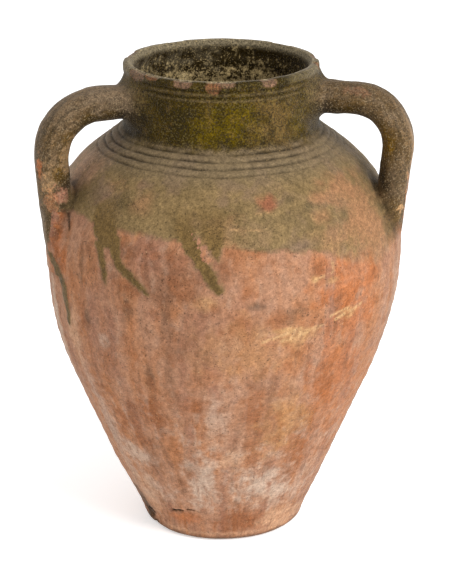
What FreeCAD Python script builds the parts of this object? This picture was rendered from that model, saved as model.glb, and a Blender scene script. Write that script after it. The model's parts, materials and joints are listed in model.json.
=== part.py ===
import FreeCAD, Part
import os

import Sketcher

# A two-handled olive jar in earthenware, in millimetres. It stands on the XY plane with its axis on Z.
# One handle is on each side of the YZ plane, and both stand a little forward of the XZ plane, towards -Y.
# Each piece of clay that the potter forms is a solid of its own.

# Driving sizes: name, value in millimetres, what it is
DRIVING_SIZES = [
    ("slab_thickness", 18, "base slab"),
    ("lower_wall_height", 122, "lower wall, from the slab to its upper seam"),
    ("belly_wall_height", 130, "belly wall, from that seam to the widest point"),
    ("shoulder_height", 115.5, "shoulder wall, from the widest point to the neck's foot"),
    ("neck_height", 59.5, "neck's foot to the top of the lip"),
    ("wall_foot_radius", 83, "outside of the wall where it stands on the slab"),
    ("lower_flare", 51.5, "how much wider the lower wall is at its top"),
    ("belly_swell", 29.5, "how much wider the belly wall is at its top"),
    ("wall_thickness", 11, "thrown wall, measured across the jar"),
    ("tongue_depth", 4, "V-shaped tongue of each wall in the groove of the one below"),
    ("foot_taper", 4, "how much narrower the slab is at the floor"),
    ("foot_round", 7.5, "rounding of the slab's lower edge"),
    ("slope_length", 34.6, "straight slope of the shoulder up to the neck's foot"),
    ("comb_margin", 5.5, "each end of the slope to the middle of the nearest combed ring"),
    ("comb_bend", 2.2, "radius of each combed ring's hollow"),
    ("comb_depth", 1.1, "depth of each combed ring"),
    ("mouth_radius", 79.5, "bore of the neck"),
    ("neck_foot_wall", 10.5, "neck at its foot"),
    ("neck_waist_wall", 8, "neck below its cords"),
    ("neck_hollow", 0.6, "depth of the neck's hollow profile between foot and cords"),
    ("cord_wall", 8.8, "neck at the cord between its two grooves"),
    ("cord_drop", 8, "top of the lip down to the middle of the upper groove"),
    ("cord_pitch", 6.4, "upper groove to lower groove"),
    ("cord_groove_width", 3, "width of each groove"),
    ("cord_groove_depth", 0.9, "depth of each groove"),
    ("lip_wall", 9.5, "lip at its widest"),
    ("lip_round", 3.4, "rounding of the lip's outer edge"),
    ("mouth_bevel", 3, "worn inner edge of the lip, measured across"),
    ("mouth_bevel_drop", 4.5, "worn inner edge of the lip, measured down"),
    ("handle_thickness", 30, "handle section, in the handle's own upright plane"),
    ("handle_width", 39, "handle section, across that plane"),
    ("handle_bend", 43, "radius of the handle's bend, at its middle"),
    ("handle_inset", 2.7, "widest point of the jar in to the middle of the handle at its widest"),
    ("handle_forward", 44.5, "how far forward of the jar's middle that point of the handle is"),
    ("handle_foot_inset", 16.5, "widest point of the jar in to the middle of the handle's lower end"),
    ("handle_foot_drop", 4, "widest point of the jar down to the handle's lower end"),
    ("handle_seat_depth", 6, "how far the handle's upper end is pressed in, for its saddle cut"),
    ("upper_luting_flare", 5, "soft clay round the upper end, at the neck"),
    ("upper_luting_length", 16, "how far that clay is drawn out along the handle"),
    ("upper_luting_gap", 3, "that clay's upper edge to the foot of the lip"),
    ("lower_luting_flare", 6, "soft clay round the lower end, where it is thickest"),
    ("lower_luting_rise", 58, "how high that clay is drawn up the handle"),
    ("luting_edge", 1.2, "thickness of the soft clay where it runs out"),
    ("slip_film", 0.2, "film of slip between the handle and the soft clay round its ends"),
    ("floor_coil_leg", 15, "coil in the corner of wall and slab, along each of them"),
    ("floor_coil_hollow", 3, "depth of that coil's hollow face"),
    ("seam_coil_height", 26, "coil pressed over each wall seam from inside"),
    ("seam_coil_thickness", 3.5, "that coil at its thickest"),
]
COMB_RING_COUNT = 4
# Each luting's trumpet: share of its length from the wall, and share of its flare there
UPPER_LUTING_SHARES = ((0, 1), (0.5, 0.3), (1, 0))
LOWER_LUTING_SHARES = ((0, 0.2), (0.35, 1), (0.7, 0.4), (1, 0))

doc = FreeCAD.newDocument("olive_jar")
sheet = doc.addObject("Spreadsheet::Sheet", "Sizes")
for row, (name, number, meaning) in enumerate(DRIVING_SIZES, start=1):
    sheet.set(f"A{row}", name)
    sheet.set(f"B{row}", str(number))
    sheet.set(f"C{row}", meaning)
    sheet.setAlias(f"B{row}", name)
doc.recompute()


def size(name):
    """Expression for one driving size."""
    return f"Sizes.{name}"


def value(expression):
    """Present number that an expression gives, in millimetres."""
    result = sheet.evalExpression(expression)
    return float(getattr(result, "Value", result))


def arc_bend(start, end, rise):
    """Expression for the radius of an arc between two points that stands off their chord by a rise."""
    half_squared = f"((({end[0]} - {start[0]})^2 + ({end[1]} - {start[1]})^2) / 4)"
    return f"(({half_squared} + {rise}^2) / (2 * {rise}))"


def tangent_angle(centre, bend, point, side):
    """Angle, at the centre of a circle, of the tangent point of the line from an outside point."""
    across = f"({point[0]} - {centre[0]})"
    up = f"({point[1]} - {centre[1]})"
    return f"(atan2({up}; {across}) {side} acos({bend} / sqrt({across}^2 + {up}^2)))"


def on_circle(centre, bend, angle):
    """Point of a circle at an angle."""
    return f"({centre[0]} + {bend} * cos({angle}))", f"({centre[1]} + {bend} * sin({angle}))"


def along(point, distance, angle):
    """Point moved by a distance along the tangent that leaves a circle at this angle."""
    return f"({point[0]} - {distance} * sin({angle}))", f"({point[1]} + {distance} * cos({angle}))"


# Heights and radii that follow from the driving sizes, as expressions

WALL = size("wall_thickness")
FLOOR = size("slab_thickness")
LOWER_SEAM = f"({FLOOR} + {size('lower_wall_height')})"
BELLY = f"({LOWER_SEAM} + {size('belly_wall_height')})"
NECK_FOOT = f"({BELLY} + {size('shoulder_height')})"
LIP_TOP = f"({NECK_FOOT} + {size('neck_height')})"

FOOT_RADIUS = size("wall_foot_radius")
LOWER_SEAM_RADIUS = f"({FOOT_RADIUS} + {size('lower_flare')})"
BELLY_RADIUS = f"({LOWER_SEAM_RADIUS} + {size('belly_swell')})"
FOOT_INNER = f"({FOOT_RADIUS} - {WALL})"
LOWER_SEAM_INNER = f"({LOWER_SEAM_RADIUS} - {WALL})"
BELLY_INNER = f"({BELLY_RADIUS} - {WALL})"
CONE_SLOPE = f"({size('lower_flare')} / {size('lower_wall_height')})"

# The belly's profile is an arc that stands upright at the widest point and starts at the lower seam.
BELLY_BEND = f"(({size('belly_swell')}^2 + {size('belly_wall_height')}^2) / (2 * {size('belly_swell')}))"

# The shoulder's profile is an arc that stands upright at the widest point, then a tangent slope up to
# the neck.
MOUTH = size("mouth_radius")
NECK_CORNER = (f"({MOUTH} + {size('neck_foot_wall')})", NECK_FOOT)
SHOULDER_RUN = f"({BELLY_RADIUS} - {NECK_CORNER[0]})"
SHOULDER_BEND = (f"(({SHOULDER_RUN}^2 + {size('shoulder_height')}^2 - {size('slope_length')}^2)"
                 f" / (2 * {SHOULDER_RUN}))")
SHOULDER_INNER_BEND = f"({SHOULDER_BEND} - {WALL})"
SHOULDER_MIDDLE = (f"({BELLY_RADIUS} - {SHOULDER_BEND})", BELLY)
SLOPE_ANGLE = tangent_angle(SHOULDER_MIDDLE, SHOULDER_BEND, NECK_CORNER, "-")
SLOPE_START = on_circle(SHOULDER_MIDDLE, SHOULDER_BEND, SLOPE_ANGLE)
SLOPE_INNER_START = on_circle(SHOULDER_MIDDLE, SHOULDER_INNER_BEND, SLOPE_ANGLE)
SLOPE_INNER_LENGTH = f"(({SLOPE_INNER_START[0]} - {MOUTH}) / sin({SLOPE_ANGLE}))"
NECK_SEAT_INNER = (MOUTH, along(SLOPE_INNER_START, SLOPE_INNER_LENGTH, SLOPE_ANGLE)[1])

HALF_GROOVE = f"{size('cord_groove_width')} / 2"
UPPER_GROOVE = f"({LIP_TOP} - {size('cord_drop')})"
LOWER_GROOVE = f"({UPPER_GROOVE} - {size('cord_pitch')})"
NECK_WAIST = f"({MOUTH} + {size('neck_waist_wall')})"
NECK_WAIST_TOP = (NECK_WAIST, f"({LOWER_GROOVE} - {HALF_GROOVE})")
CORD_FOOT = (f"({MOUTH} + {size('cord_wall')})", f"({LOWER_GROOVE} + {HALF_GROOVE})")
CORD_TOP = (CORD_FOOT[0], f"({UPPER_GROOVE} - {HALF_GROOVE})")
LIP_FOOT = (f"({MOUTH} + {size('lip_wall')})", f"({UPPER_GROOVE} + {HALF_GROOVE})")

# The neck's outside, from its foot to the lip, with the index of the corner that each arc leaves
NECK_OUTLINE = [NECK_CORNER, NECK_WAIST_TOP, CORD_FOOT, CORD_TOP, LIP_FOOT]
NECK_ARCS = {
    0: (arc_bend(NECK_CORNER, NECK_WAIST_TOP, size("neck_hollow")), False),
    1: (arc_bend(NECK_WAIST_TOP, CORD_FOOT, size("cord_groove_depth")), False),
    3: (arc_bend(CORD_TOP, LIP_FOOT, size("cord_groove_depth")), False),
}

# The handle's middle line: level from the neck, round one bend, then a straight leg that leans in to
# the belly. It lies in an upright plane through the jar's axis.
HANDLE_TOP = (f"({LIP_FOOT[1]} - {size('upper_luting_gap')} - {size('upper_luting_flare')}"
              f" - {size('handle_thickness')} / 2)")
HANDLE_REACH = f"({BELLY_RADIUS} - {size('handle_inset')})"
HANDLE_MIDDLE = (f"({HANDLE_REACH} - {size('handle_bend')})", f"({HANDLE_TOP} - {size('handle_bend')})")
HANDLE_START = (f"({NECK_WAIST} - {size('handle_seat_depth')})", HANDLE_TOP)
HANDLE_FOOT = (f"({BELLY_RADIUS} - {size('handle_foot_inset')})", f"({BELLY} - {size('handle_foot_drop')})")
HANDLE_LEAN = tangent_angle(HANDLE_MIDDLE, size("handle_bend"), HANDLE_FOOT, "+")
HANDLE_BEND_END = on_circle(HANDLE_MIDDLE, size("handle_bend"), HANDLE_LEAN)
HANDLE_SWING = f"asin({size('handle_forward')} / {HANDLE_REACH})"


def belly_inner_point(height):
    """Point of the belly's inner arc at a height."""
    drop = f"({BELLY} - {height})"
    return f"({BELLY_INNER} - {BELLY_BEND} + sqrt({BELLY_BEND}^2 - {drop}^2))", height


def seam_groove(outer, height):
    """Corners of a seam from outside to inside: the tongue of the upper wall in the groove of the lower."""
    middle = (f"({outer} - {WALL} / 2)", f"({height} - {size('tongue_depth')})")
    return [(outer, height), middle, (f"({outer} - {WALL})", height)]


# Sketches

def arc_between(start, end, bend, turns_left):
    """Minor arc from start to end, and whether the sketch holds it in that direction."""
    half = (end - start) * 0.5
    normal = FreeCAD.Vector(-half.y, half.x, 0).normalize()
    offset = (bend ** 2 - half.Length ** 2) ** 0.5
    centre = start + half + normal * (offset if turns_left else -offset)
    circle = Part.Circle(centre, FreeCAD.Vector(0, 0, 1), bend)
    first, last = (start, end) if turns_left else (end, start)
    return Part.ArcOfCircle(circle, circle.parameter(first), circle.parameter(last))


def pin_point(sketch, geometry, end, place):
    """Ties one end of a sketch element to a pair of expressions, measured from the origin."""
    axes = (("DistanceX", -2), ("DistanceY", -1))
    for (kind, axis), expression in zip(axes, place):
        if value(expression) == 0:
            sketch.addConstraint(Sketcher.Constraint("PointOnObject", geometry, end, axis))
            continue
        index = sketch.addConstraint(Sketcher.Constraint(kind, -1, 1, geometry, end, value(expression)))
        sketch.setExpression(f"Constraints[{index}]", expression)


def draw(sketch, corners, arcs, closed=True):
    """Draws lines through the corners, with an arc in place of each line that `arcs` names.

    A corner is a pair of expressions. arcs maps the index of the corner that an arc leaves to its
    radius and to whether it turns left.
    """
    points = [FreeCAD.Vector(value(across), value(up), 0) for across, up in corners]
    pairs = list(zip(points, points[1:] + points[:1]))
    if not closed:
        pairs.pop()
    ends = []
    for index, (start, end) in enumerate(pairs):
        if index in arcs:
            bend, turns_left = arcs[index]
            geometry = sketch.addGeometry(arc_between(start, end, value(bend), turns_left))
            ends.append((geometry, 1, 2) if turns_left else (geometry, 2, 1))
            radius = sketch.addConstraint(Sketcher.Constraint("Radius", geometry, value(bend)))
            sketch.setExpression(f"Constraints[{radius}]", bend)
        else:
            ends.append((sketch.addGeometry(Part.LineSegment(start, end)), 1, 2))
    for index, (geometry, first, last) in enumerate(ends):
        pin_point(sketch, geometry, first, corners[index])
        if closed or index + 1 < len(ends):
            following = ends[(index + 1) % len(ends)]
            sketch.addConstraint(Sketcher.Constraint("Coincident", geometry, last, *following[:2]))
    if not closed:
        pin_point(sketch, ends[-1][0], ends[-1][2], corners[-1])


def body_plane(body, role):
    """Origin plane or axis of a body."""
    return next(item for item in body.Origin.OriginFeatures if item.Role == role)


def profile_sketch(body, name, corners, arcs):
    """Closed profile on the body's XZ plane: X is the distance from the jar's axis, Y the height."""
    sketch = body.newObject("Sketcher::SketchObject", name)
    sketch.AttachmentSupport = [(body_plane(body, "XZ_Plane"), "")]
    sketch.MapMode = "FlatFace"
    draw(sketch, corners, arcs)
    return sketch


def turned_body(name, corners, arcs):
    """Solid of revolution about the jar's axis."""
    body = doc.addObject("PartDesign::Body", f"{name}_body")
    body.Label = name
    sketch = profile_sketch(body, f"{name}_profile", corners, arcs)
    turn = body.newObject("PartDesign::Revolution", f"{name}_turn")
    turn.Profile = sketch
    turn.ReferenceAxis = (body_plane(body, "Z_Axis"), [""])
    turn.Angle = 360
    doc.recompute()
    return body


# The thrown pieces, from the floor up

def make_base_slab():
    edge = f"({FOOT_RADIUS} - {size('foot_taper')})"
    corners = [
        ("0", "0"),
        (f"({edge} - {size('foot_round')})", "0"),
        (edge, size("foot_round")),
        *seam_groove(FOOT_RADIUS, FLOOR),
        ("0", FLOOR),
    ]
    return turned_body("base_slab", corners, {1: (size("foot_round"), True)})


def make_lower_wall():
    bottom = seam_groove(FOOT_RADIUS, FLOOR)
    top = seam_groove(LOWER_SEAM_RADIUS, LOWER_SEAM)
    return turned_body("lower_wall", top + bottom[::-1], {})


def make_belly_wall():
    bottom = seam_groove(LOWER_SEAM_RADIUS, LOWER_SEAM)
    top = seam_groove(BELLY_RADIUS, BELLY)
    arcs = {2: (BELLY_BEND, False), 5: (BELLY_BEND, True)}
    return turned_body("belly_wall", top + bottom[::-1], arcs)


def make_shoulder_wall():
    outer, tongue, inner = seam_groove(BELLY_RADIUS, BELLY)
    corners = [outer, SLOPE_START, NECK_CORNER, NECK_SEAT_INNER, SLOPE_INNER_START, inner, tongue]
    arcs = {0: (SHOULDER_BEND, True), 4: (SHOULDER_INNER_BEND, False)}
    body = turned_body("shoulder_wall", corners, arcs)

    rings = body.newObject("Sketcher::SketchObject", "comb_profile")
    rings.AttachmentSupport = [(body_plane(body, "XZ_Plane"), "")]
    rings.MapMode = "FlatFace"
    bend = size("comb_bend")
    pitch = f"(({size('slope_length')} - 2 * {size('comb_margin')}) / {COMB_RING_COUNT - 1})"
    middle_bend = f"({SHOULDER_BEND} + {bend} - {size('comb_depth')})"
    slope_foot = on_circle(SHOULDER_MIDDLE, middle_bend, SLOPE_ANGLE)
    for number in range(COMB_RING_COUNT):
        place = along(slope_foot, f"({size('comb_margin')} + {number} * {pitch})", SLOPE_ANGLE)
        centre = FreeCAD.Vector(value(place[0]), value(place[1]), 0)
        geometry = rings.addGeometry(Part.Circle(centre, FreeCAD.Vector(0, 0, 1), value(bend)))
        pin_point(rings, geometry, 3, place)
        radius = rings.addConstraint(Sketcher.Constraint("Radius", geometry, value(bend)))
        rings.setExpression(f"Constraints[{radius}]", bend)
    comb = body.newObject("PartDesign::Groove", "comb_rings")
    comb.Profile = rings
    comb.ReferenceAxis = (body_plane(body, "Z_Axis"), [""])
    comb.Angle = 360
    doc.recompute()
    return body


def make_neck_collar():
    corners = [
        *NECK_OUTLINE,
        (LIP_FOOT[0], f"({LIP_TOP} - {size('lip_round')})"),
        (f"({LIP_FOOT[0]} - {size('lip_round')})", LIP_TOP),
        (f"({MOUTH} + {size('mouth_bevel')})", LIP_TOP),
        (MOUTH, f"({LIP_TOP} - {size('mouth_bevel_drop')})"),
        NECK_SEAT_INNER,
    ]
    lip_arc = {len(NECK_OUTLINE): (size("lip_round"), True)}
    return turned_body("neck_collar", corners, {**NECK_ARCS, **lip_arc})


# The coils pressed into the seams from inside

def make_floor_seam_coil():
    leg = size("floor_coil_leg")
    up_wall = (f"({FOOT_INNER} + {leg} * {CONE_SLOPE})", f"({FLOOR} + {leg})")
    along_floor = (f"({FOOT_INNER} - {leg})", FLOOR)
    face_bend = arc_bend(up_wall, along_floor, size("floor_coil_hollow"))
    corners = [(FOOT_INNER, FLOOR), up_wall, along_floor]
    return turned_body("floor_seam_coil", corners, {1: (face_bend, False)})


def make_lower_seam_coil():
    half = f"({size('seam_coil_height')} / 2)"
    below = (f"({LOWER_SEAM_INNER} - {half} * {CONE_SLOPE})", f"({LOWER_SEAM} - {half})")
    above = belly_inner_point(f"({LOWER_SEAM} + {half})")
    face_bend = arc_bend(below, above, size("seam_coil_thickness"))
    corners = [below, (LOWER_SEAM_INNER, LOWER_SEAM), above]
    return turned_body("lower_seam_coil", corners, {1: (BELLY_BEND, True), 2: (face_bend, True)})


def make_belly_seam_coil():
    half = f"({size('seam_coil_height')} / 2)"
    below = belly_inner_point(f"({BELLY} - {half})")
    above = (f"({SHOULDER_MIDDLE[0]} + sqrt({SHOULDER_INNER_BEND}^2 - {half}^2))", f"({BELLY} + {half})")
    face_bend = arc_bend(below, above, size("seam_coil_thickness"))
    arcs = {0: (BELLY_BEND, True), 1: (SHOULDER_INNER_BEND, True), 2: (face_bend, True)}
    return turned_body("belly_seam_coil", [below, (BELLY_INNER, BELLY), above], arcs)


# The handles and their lutings. The right ones are built, and the left ones are their mirror images.

def make_clay_core():
    """Outside of the belly, shoulder and neck, filled in: what the handles and lutings are saddled on."""
    wall = [("0", LOWER_SEAM), (LOWER_SEAM_RADIUS, LOWER_SEAM), (BELLY_RADIUS, BELLY), SLOPE_START]
    arcs = {1: (BELLY_BEND, True), 2: (SHOULDER_BEND, True)}
    for index, arc in NECK_ARCS.items():
        arcs[len(wall) + index] = arc
    return turned_body("clay_core", [*wall, *NECK_OUTLINE, ("0", LIP_FOOT[1])], arcs)


def handle_turn():
    """Turn from the XZ plane to the right handle's own plane."""
    return FreeCAD.Rotation(FreeCAD.Vector(0, 0, 1), -value(HANDLE_SWING))


def place_of(corner):
    """Present place of a corner in the right handle's plane."""
    return handle_turn().multVec(FreeCAD.Vector(value(corner[0]), 0, value(corner[1])))


def oval(name, flare, place, heading):
    """Closed oval round the handle's section, wider all round by a flare, square to a heading."""
    wire = Part.Wire([Part.Circle().toBSpline().toShape()])
    scale = FreeCAD.Matrix()
    scale.scale(value(size("handle_width")) / 2 + flare, value(size("handle_thickness")) / 2 + flare, 1)
    sideways = handle_turn().multVec(FreeCAD.Vector(0, 1, 0))
    feature = doc.addObject("Part::Feature", name)
    feature.Shape = wire.transformGeometry(scale)
    feature.Placement = FreeCAD.Placement(
        place, FreeCAD.Rotation(sideways, heading.cross(sideways), heading, "ZXY"))
    return feature


def cut(name, base, tool):
    """Boolean cut of one object by another."""
    result = doc.addObject("Part::Cut", name)
    result.Base = base
    result.Tool = tool
    doc.recompute()
    return result


def make_handle_spine():
    """Handle's middle line, from inside the neck's wall, round the bend, into the belly's wall."""
    spine = doc.addObject("Sketcher::SketchObject", "handle_spine")
    upright = FreeCAD.Rotation(FreeCAD.Vector(1, 0, 0), 90)
    spine.Placement = FreeCAD.Placement(FreeCAD.Vector(0, 0, 0), handle_turn() * upright)
    corners = [HANDLE_START, (HANDLE_MIDDLE[0], HANDLE_TOP), HANDLE_BEND_END, HANDLE_FOOT]
    draw(spine, corners, {1: (size("handle_bend"), False)}, closed=False)
    doc.recompute()
    return spine


def make_bar(name, spine, flare):
    """Oval bar along the handle's middle line: the handle's section, wider all round by a flare."""
    outwards = handle_turn().multVec(FreeCAD.Vector(1, 0, 0))
    section = oval(f"{name}_section", flare, place_of(HANDLE_START), outwards)
    bar = doc.addObject("Part::Sweep", name)
    bar.Sections = [section]
    bar.Spine = (spine, [f"Edge{number}" for number in range(1, spine.GeometryCount + 1)])
    bar.Solid = True
    doc.recompute()
    return bar


def make_luting(name, start, end, flare, shares, coated_bar, clay_core):
    """Wad of soft clay round a handle end: a trumpet of ovals, cut by the wall and by the coated handle."""
    edge = value(size("luting_edge"))
    heading = FreeCAD.Vector(end - start).normalize()
    sections = []
    for step, (length_share, flare_share) in enumerate(shares):
        place = start + (end - start) * length_share
        station_flare = edge + (flare - edge) * flare_share
        sections.append(oval(f"{name}_oval_{step}", station_flare, place, heading))
    wad = doc.addObject("Part::Loft", f"{name}_wad")
    wad.Sections = sections
    wad.Solid = True
    doc.recompute()
    saddled = cut(f"{name}_saddled", wad, clay_core)
    luting = cut(f"{name}_piece", saddled, coated_bar)
    luting.Label = name
    return luting


def mirror_left(source):
    """Left-hand copy of a right-hand piece."""
    name = source.Label.replace("right", "left")
    piece = doc.addObject("Part::Mirroring", f"{name}_piece")
    piece.Source = source
    piece.Base = FreeCAD.Vector(0, 0, 0)
    piece.Normal = FreeCAD.Vector(1, 0, 0)
    piece.Label = name
    doc.recompute()
    return piece


def make_handles():
    clay_core = make_clay_core()
    spine = make_handle_spine()
    handle_bar = make_bar("handle_bar", spine, 0)
    coated_bar = make_bar("coated_bar", spine, value(size("slip_film")))
    handle = cut("right_handle_piece", handle_bar, clay_core)
    handle.Label = "right_handle"

    upper_end = place_of((f"({NECK_WAIST} + {size('upper_luting_length')})", HANDLE_TOP))
    upper_flare = value(size("upper_luting_flare"))
    upper = make_luting("right_upper_luting", place_of(HANDLE_START), upper_end, upper_flare,
                        UPPER_LUTING_SHARES, coated_bar, clay_core)

    foot = place_of(HANDLE_FOOT)
    leg = place_of(HANDLE_BEND_END) - foot
    lower_end = foot + leg * (value(size("lower_luting_rise")) / leg.z)
    lower_flare = value(size("lower_luting_flare"))
    lower = make_luting("right_lower_luting", foot, lower_end, lower_flare,
                        LOWER_LUTING_SHARES, coated_bar, clay_core)

    pieces = [handle, upper, lower]
    return pieces + [mirror_left(piece) for piece in pieces]


sub_parts = [
    make_base_slab(),
    make_lower_wall(),
    make_belly_wall(),
    make_shoulder_wall(),
    make_neck_collar(),
    make_floor_seam_coil(),
    make_lower_seam_coil(),
    make_belly_seam_coil(),
    *make_handles(),
]
doc.recompute()

for item in doc.Objects:
    if "Invalid" in item.State or "Error" in item.State:
        raise RuntimeError(f"{item.Label} failed: {item.State}")
for piece in sub_parts:
    if piece.Shape.isNull() or not piece.Shape.isValid():
        raise RuntimeError(f"{piece.Label} has no valid shape")

os.makedirs("parts", exist_ok=True)
for piece in sub_parts:
    piece.Shape.exportStep(f"parts/{piece.Label}.step")
    box = piece.Shape.optimalBoundingBox()
    print(f"{piece.Label}: {len(piece.Shape.Solids)} solid, volume {piece.Shape.Volume:.0f} mm3, {box}")
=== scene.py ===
import json
import math

import bpy
import numpy as np
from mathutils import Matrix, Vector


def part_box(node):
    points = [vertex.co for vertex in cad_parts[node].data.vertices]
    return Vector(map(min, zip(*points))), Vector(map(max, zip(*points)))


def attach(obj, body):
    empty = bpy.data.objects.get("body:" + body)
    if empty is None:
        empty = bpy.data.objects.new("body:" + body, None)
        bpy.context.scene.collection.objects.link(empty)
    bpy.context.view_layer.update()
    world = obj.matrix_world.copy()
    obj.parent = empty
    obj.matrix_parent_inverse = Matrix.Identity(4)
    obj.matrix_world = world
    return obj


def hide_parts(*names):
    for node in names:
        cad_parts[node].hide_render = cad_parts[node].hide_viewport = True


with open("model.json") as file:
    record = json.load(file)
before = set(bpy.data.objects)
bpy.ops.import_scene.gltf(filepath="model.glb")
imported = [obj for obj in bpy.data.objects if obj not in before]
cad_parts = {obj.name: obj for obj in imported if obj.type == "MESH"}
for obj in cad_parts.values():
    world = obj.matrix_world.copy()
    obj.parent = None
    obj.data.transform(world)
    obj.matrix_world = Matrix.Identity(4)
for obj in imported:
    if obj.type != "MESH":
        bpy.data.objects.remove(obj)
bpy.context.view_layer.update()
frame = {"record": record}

# A two-handled olive jar: bare earthenware below, a worn olive glaze that ran down in drips above.
# Lengths are in millimetres until a mesh is made. Azimuths are in degrees as the photo shows them:
# 0 faces the camera, and they grow to the right.

MM = 0.001
PHOTO_TURN = 3.75     # the photo was taken from a little to the left of the jar's front
COLUMNS = 640
SEED = 41
STUDIO_SHARE = 0.65   # paint colour to the brightness that the studio light gives it


# Sizes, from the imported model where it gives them

def top_of(node):
    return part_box(node)[1].z / MM


def reach_of(node):
    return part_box(node)[1].x / MM


SLAB_TOP = top_of("base_slab")
LOWER_SEAM = top_of("lower_wall")
BELLY = top_of("belly_wall")
NECK_FOOT = top_of("shoulder_wall")
LIP_TOP = top_of("neck_collar")
FOOT_RADIUS = reach_of("base_slab")
SEAM_RADIUS = reach_of("lower_wall")
BELLY_RADIUS = reach_of("belly_wall")
NECK_RADIUS = reach_of("neck_collar")
MOUTH_RADIUS = next(m for m in frame["record"]["mounts"] if m["name"] == "mouth")["dims"]["r_mm"]

WALL = 11.0
TONGUE = 4.0
FOOT_TAPER = 4.0
FOOT_ROUND = 7.5
SLOPE_LENGTH = 34.6
COMB_MARGIN = 5.5
COMB_COUNT = 4
NECK_WAIST_WALL = 8.0
NECK_HOLLOW = 0.6
LIP_WALL = 9.5
LIP_ROUND = 3.4
LIP_FOOT_DROP = 6.5
UPPER_GROOVE = LIP_TOP - 8.0
LOWER_GROOVE = UPPER_GROOVE - 6.4
MOUTH_BEVEL = 3.0
MOUTH_BEVEL_DROP = 4.5
HANDLE_SWING = 74.0   # azimuth of each handle's plane, on the jar
CORNER_REACH = 2.6    # how far the profile's corners are rounded, along its line
NECK_FOOT_MORE = 4.0  # further at the neck's foot
LIP_LESS = 1.5        # and less far from the grooves up


# Seeded noise

def perlin(points, seed):
    """Gradient noise, about -0.7 to 0.7, at points given in cells."""
    draw = np.random.RandomState(seed)
    order = draw.permutation(256)
    slopes = unit(draw.normal(size=(256, 3)))
    cell = np.floor(points).astype(int)
    inside = points - cell
    ease = inside ** 3 * (inside * (inside * 6 - 15) + 10)
    total = np.zeros(points.shape[:-1])
    for corner in np.ndindex(2, 2, 2):
        x, y, z = np.moveaxis(cell + corner, -1, 0) & 255
        slope = slopes[order[(order[(order[x] + y) & 255] + z) & 255]]
        weight = np.prod(np.where(corner, ease, 1 - ease), axis=-1)
        total += weight * np.sum(slope * (inside - corner), axis=-1)
    return total


def cloud(points, scale, seed, octaves=4):
    """Layered noise, about -1 to 1, whose largest lumps are about as big as scale."""
    total = 0
    for octave in range(octaves):
        total = total + perlin(points / scale * 2 ** octave, SEED + seed * 7 + octave) * 0.55 ** octave
    return total * 1.35


# Small helpers

def smooth(low, high, values):
    """0 below low, 1 above high, and an S between them."""
    share = np.clip((values - low) / (high - low), 0, 1)
    return share * share * (3 - 2 * share)


def bell(values, width):
    """1 at zero, and falling off to both sides over a width."""
    return np.exp(-(values / width) ** 2)


def mix(first, second, share):
    """Blend of two colours, or of arrays of colours, by an array of shares."""
    share = np.asarray(share)[..., None]
    return first * (1 - share) + second * share


def unit(vectors):
    """The same vectors, each one long."""
    return vectors / np.linalg.norm(vectors, axis=-1, keepdims=True)


def lengths_along(points):
    """Length along a line of points, at each of them."""
    return np.concatenate(([0], np.cumsum(np.linalg.norm(np.diff(points, axis=0), axis=1))))


def srgb(red, green, blue):
    """Scene-linear paint that looks like a screen colour from 0 to 255 under the studio light."""
    shares = np.array((red, green, blue)) / 255
    return STUDIO_SHARE * np.where(shares <= 0.04045, shares / 12.92, ((shares + 0.055) / 1.055) ** 2.4)


def turn_between(azimuths, azimuth):
    """Signed degrees from one azimuth to others."""
    return (azimuths - azimuth + 180) % 360 - 180


# The jar's profile, as (radius, height), from the middle of the foot up the outside and down the inside

def line(start, end, step):
    """Points from start up to, but not at, end."""
    start, end = np.array(start, float), np.array(end, float)
    count = max(2, round(np.linalg.norm(end - start) / step))
    return start + (end - start) * (np.arange(count) / count)[:, None]


def arc(middle, bend, first, last, step):
    """Points of an arc from one angle up to, but not at, another."""
    count = max(2, round(abs(last - first) * bend / step))
    angles = first + (last - first) * np.arange(count) / count
    return np.column_stack((middle[0] + bend * np.cos(angles), middle[1] + bend * np.sin(angles)))


def soften(points, reach):
    """The same points with their corners rounded over a reach along the line. The ends stay."""
    along = lengths_along(points)
    shares = np.linspace(-1, 1, 11)
    weights = np.cos(shares * math.pi / 2) ** 2 + 0.02
    result = np.zeros_like(points)
    for share, weight in zip(shares, weights / weights.sum()):
        for axis in range(points.shape[1]):
            result[:, axis] += weight * np.interp(along + share * reach, along, points[:, axis])
    result[0], result[-1] = points[0], points[-1]
    return result


belly_rise = BELLY - LOWER_SEAM
belly_run = BELLY_RADIUS - SEAM_RADIUS
belly_bend = (belly_run ** 2 + belly_rise ** 2) / (2 * belly_run)
belly_angle = math.asin(belly_rise / belly_bend)
belly_middle = (BELLY_RADIUS - belly_bend, BELLY)

shoulder_rise = NECK_FOOT - BELLY
shoulder_run = BELLY_RADIUS - NECK_RADIUS
shoulder_bend = (shoulder_run ** 2 + shoulder_rise ** 2 - SLOPE_LENGTH ** 2) / (2 * shoulder_run)
shoulder_middle = (BELLY_RADIUS - shoulder_bend, BELLY)
corner_away = (NECK_RADIUS - shoulder_middle[0], shoulder_rise)
slope_angle = math.atan2(corner_away[1], corner_away[0]) - math.acos(shoulder_bend / math.hypot(*corner_away))


def on_shoulder(bend):
    """Point of a circle round the shoulder's middle where its slope starts."""
    return (shoulder_middle[0] + bend * math.cos(slope_angle),
            shoulder_middle[1] + bend * math.sin(slope_angle))


slope_start = on_shoulder(shoulder_bend)
slope_inner_start = on_shoulder(shoulder_bend - WALL)
seat_height = slope_inner_start[1] + (slope_inner_start[0] - MOUTH_RADIUS) / math.tan(slope_angle)
waist = MOUTH_RADIUS + NECK_WAIST_WALL
lip = MOUTH_RADIUS + LIP_WALL
foot_edge = FOOT_RADIUS - FOOT_TAPER
lip_foot = LIP_TOP - LIP_FOOT_DROP

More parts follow.
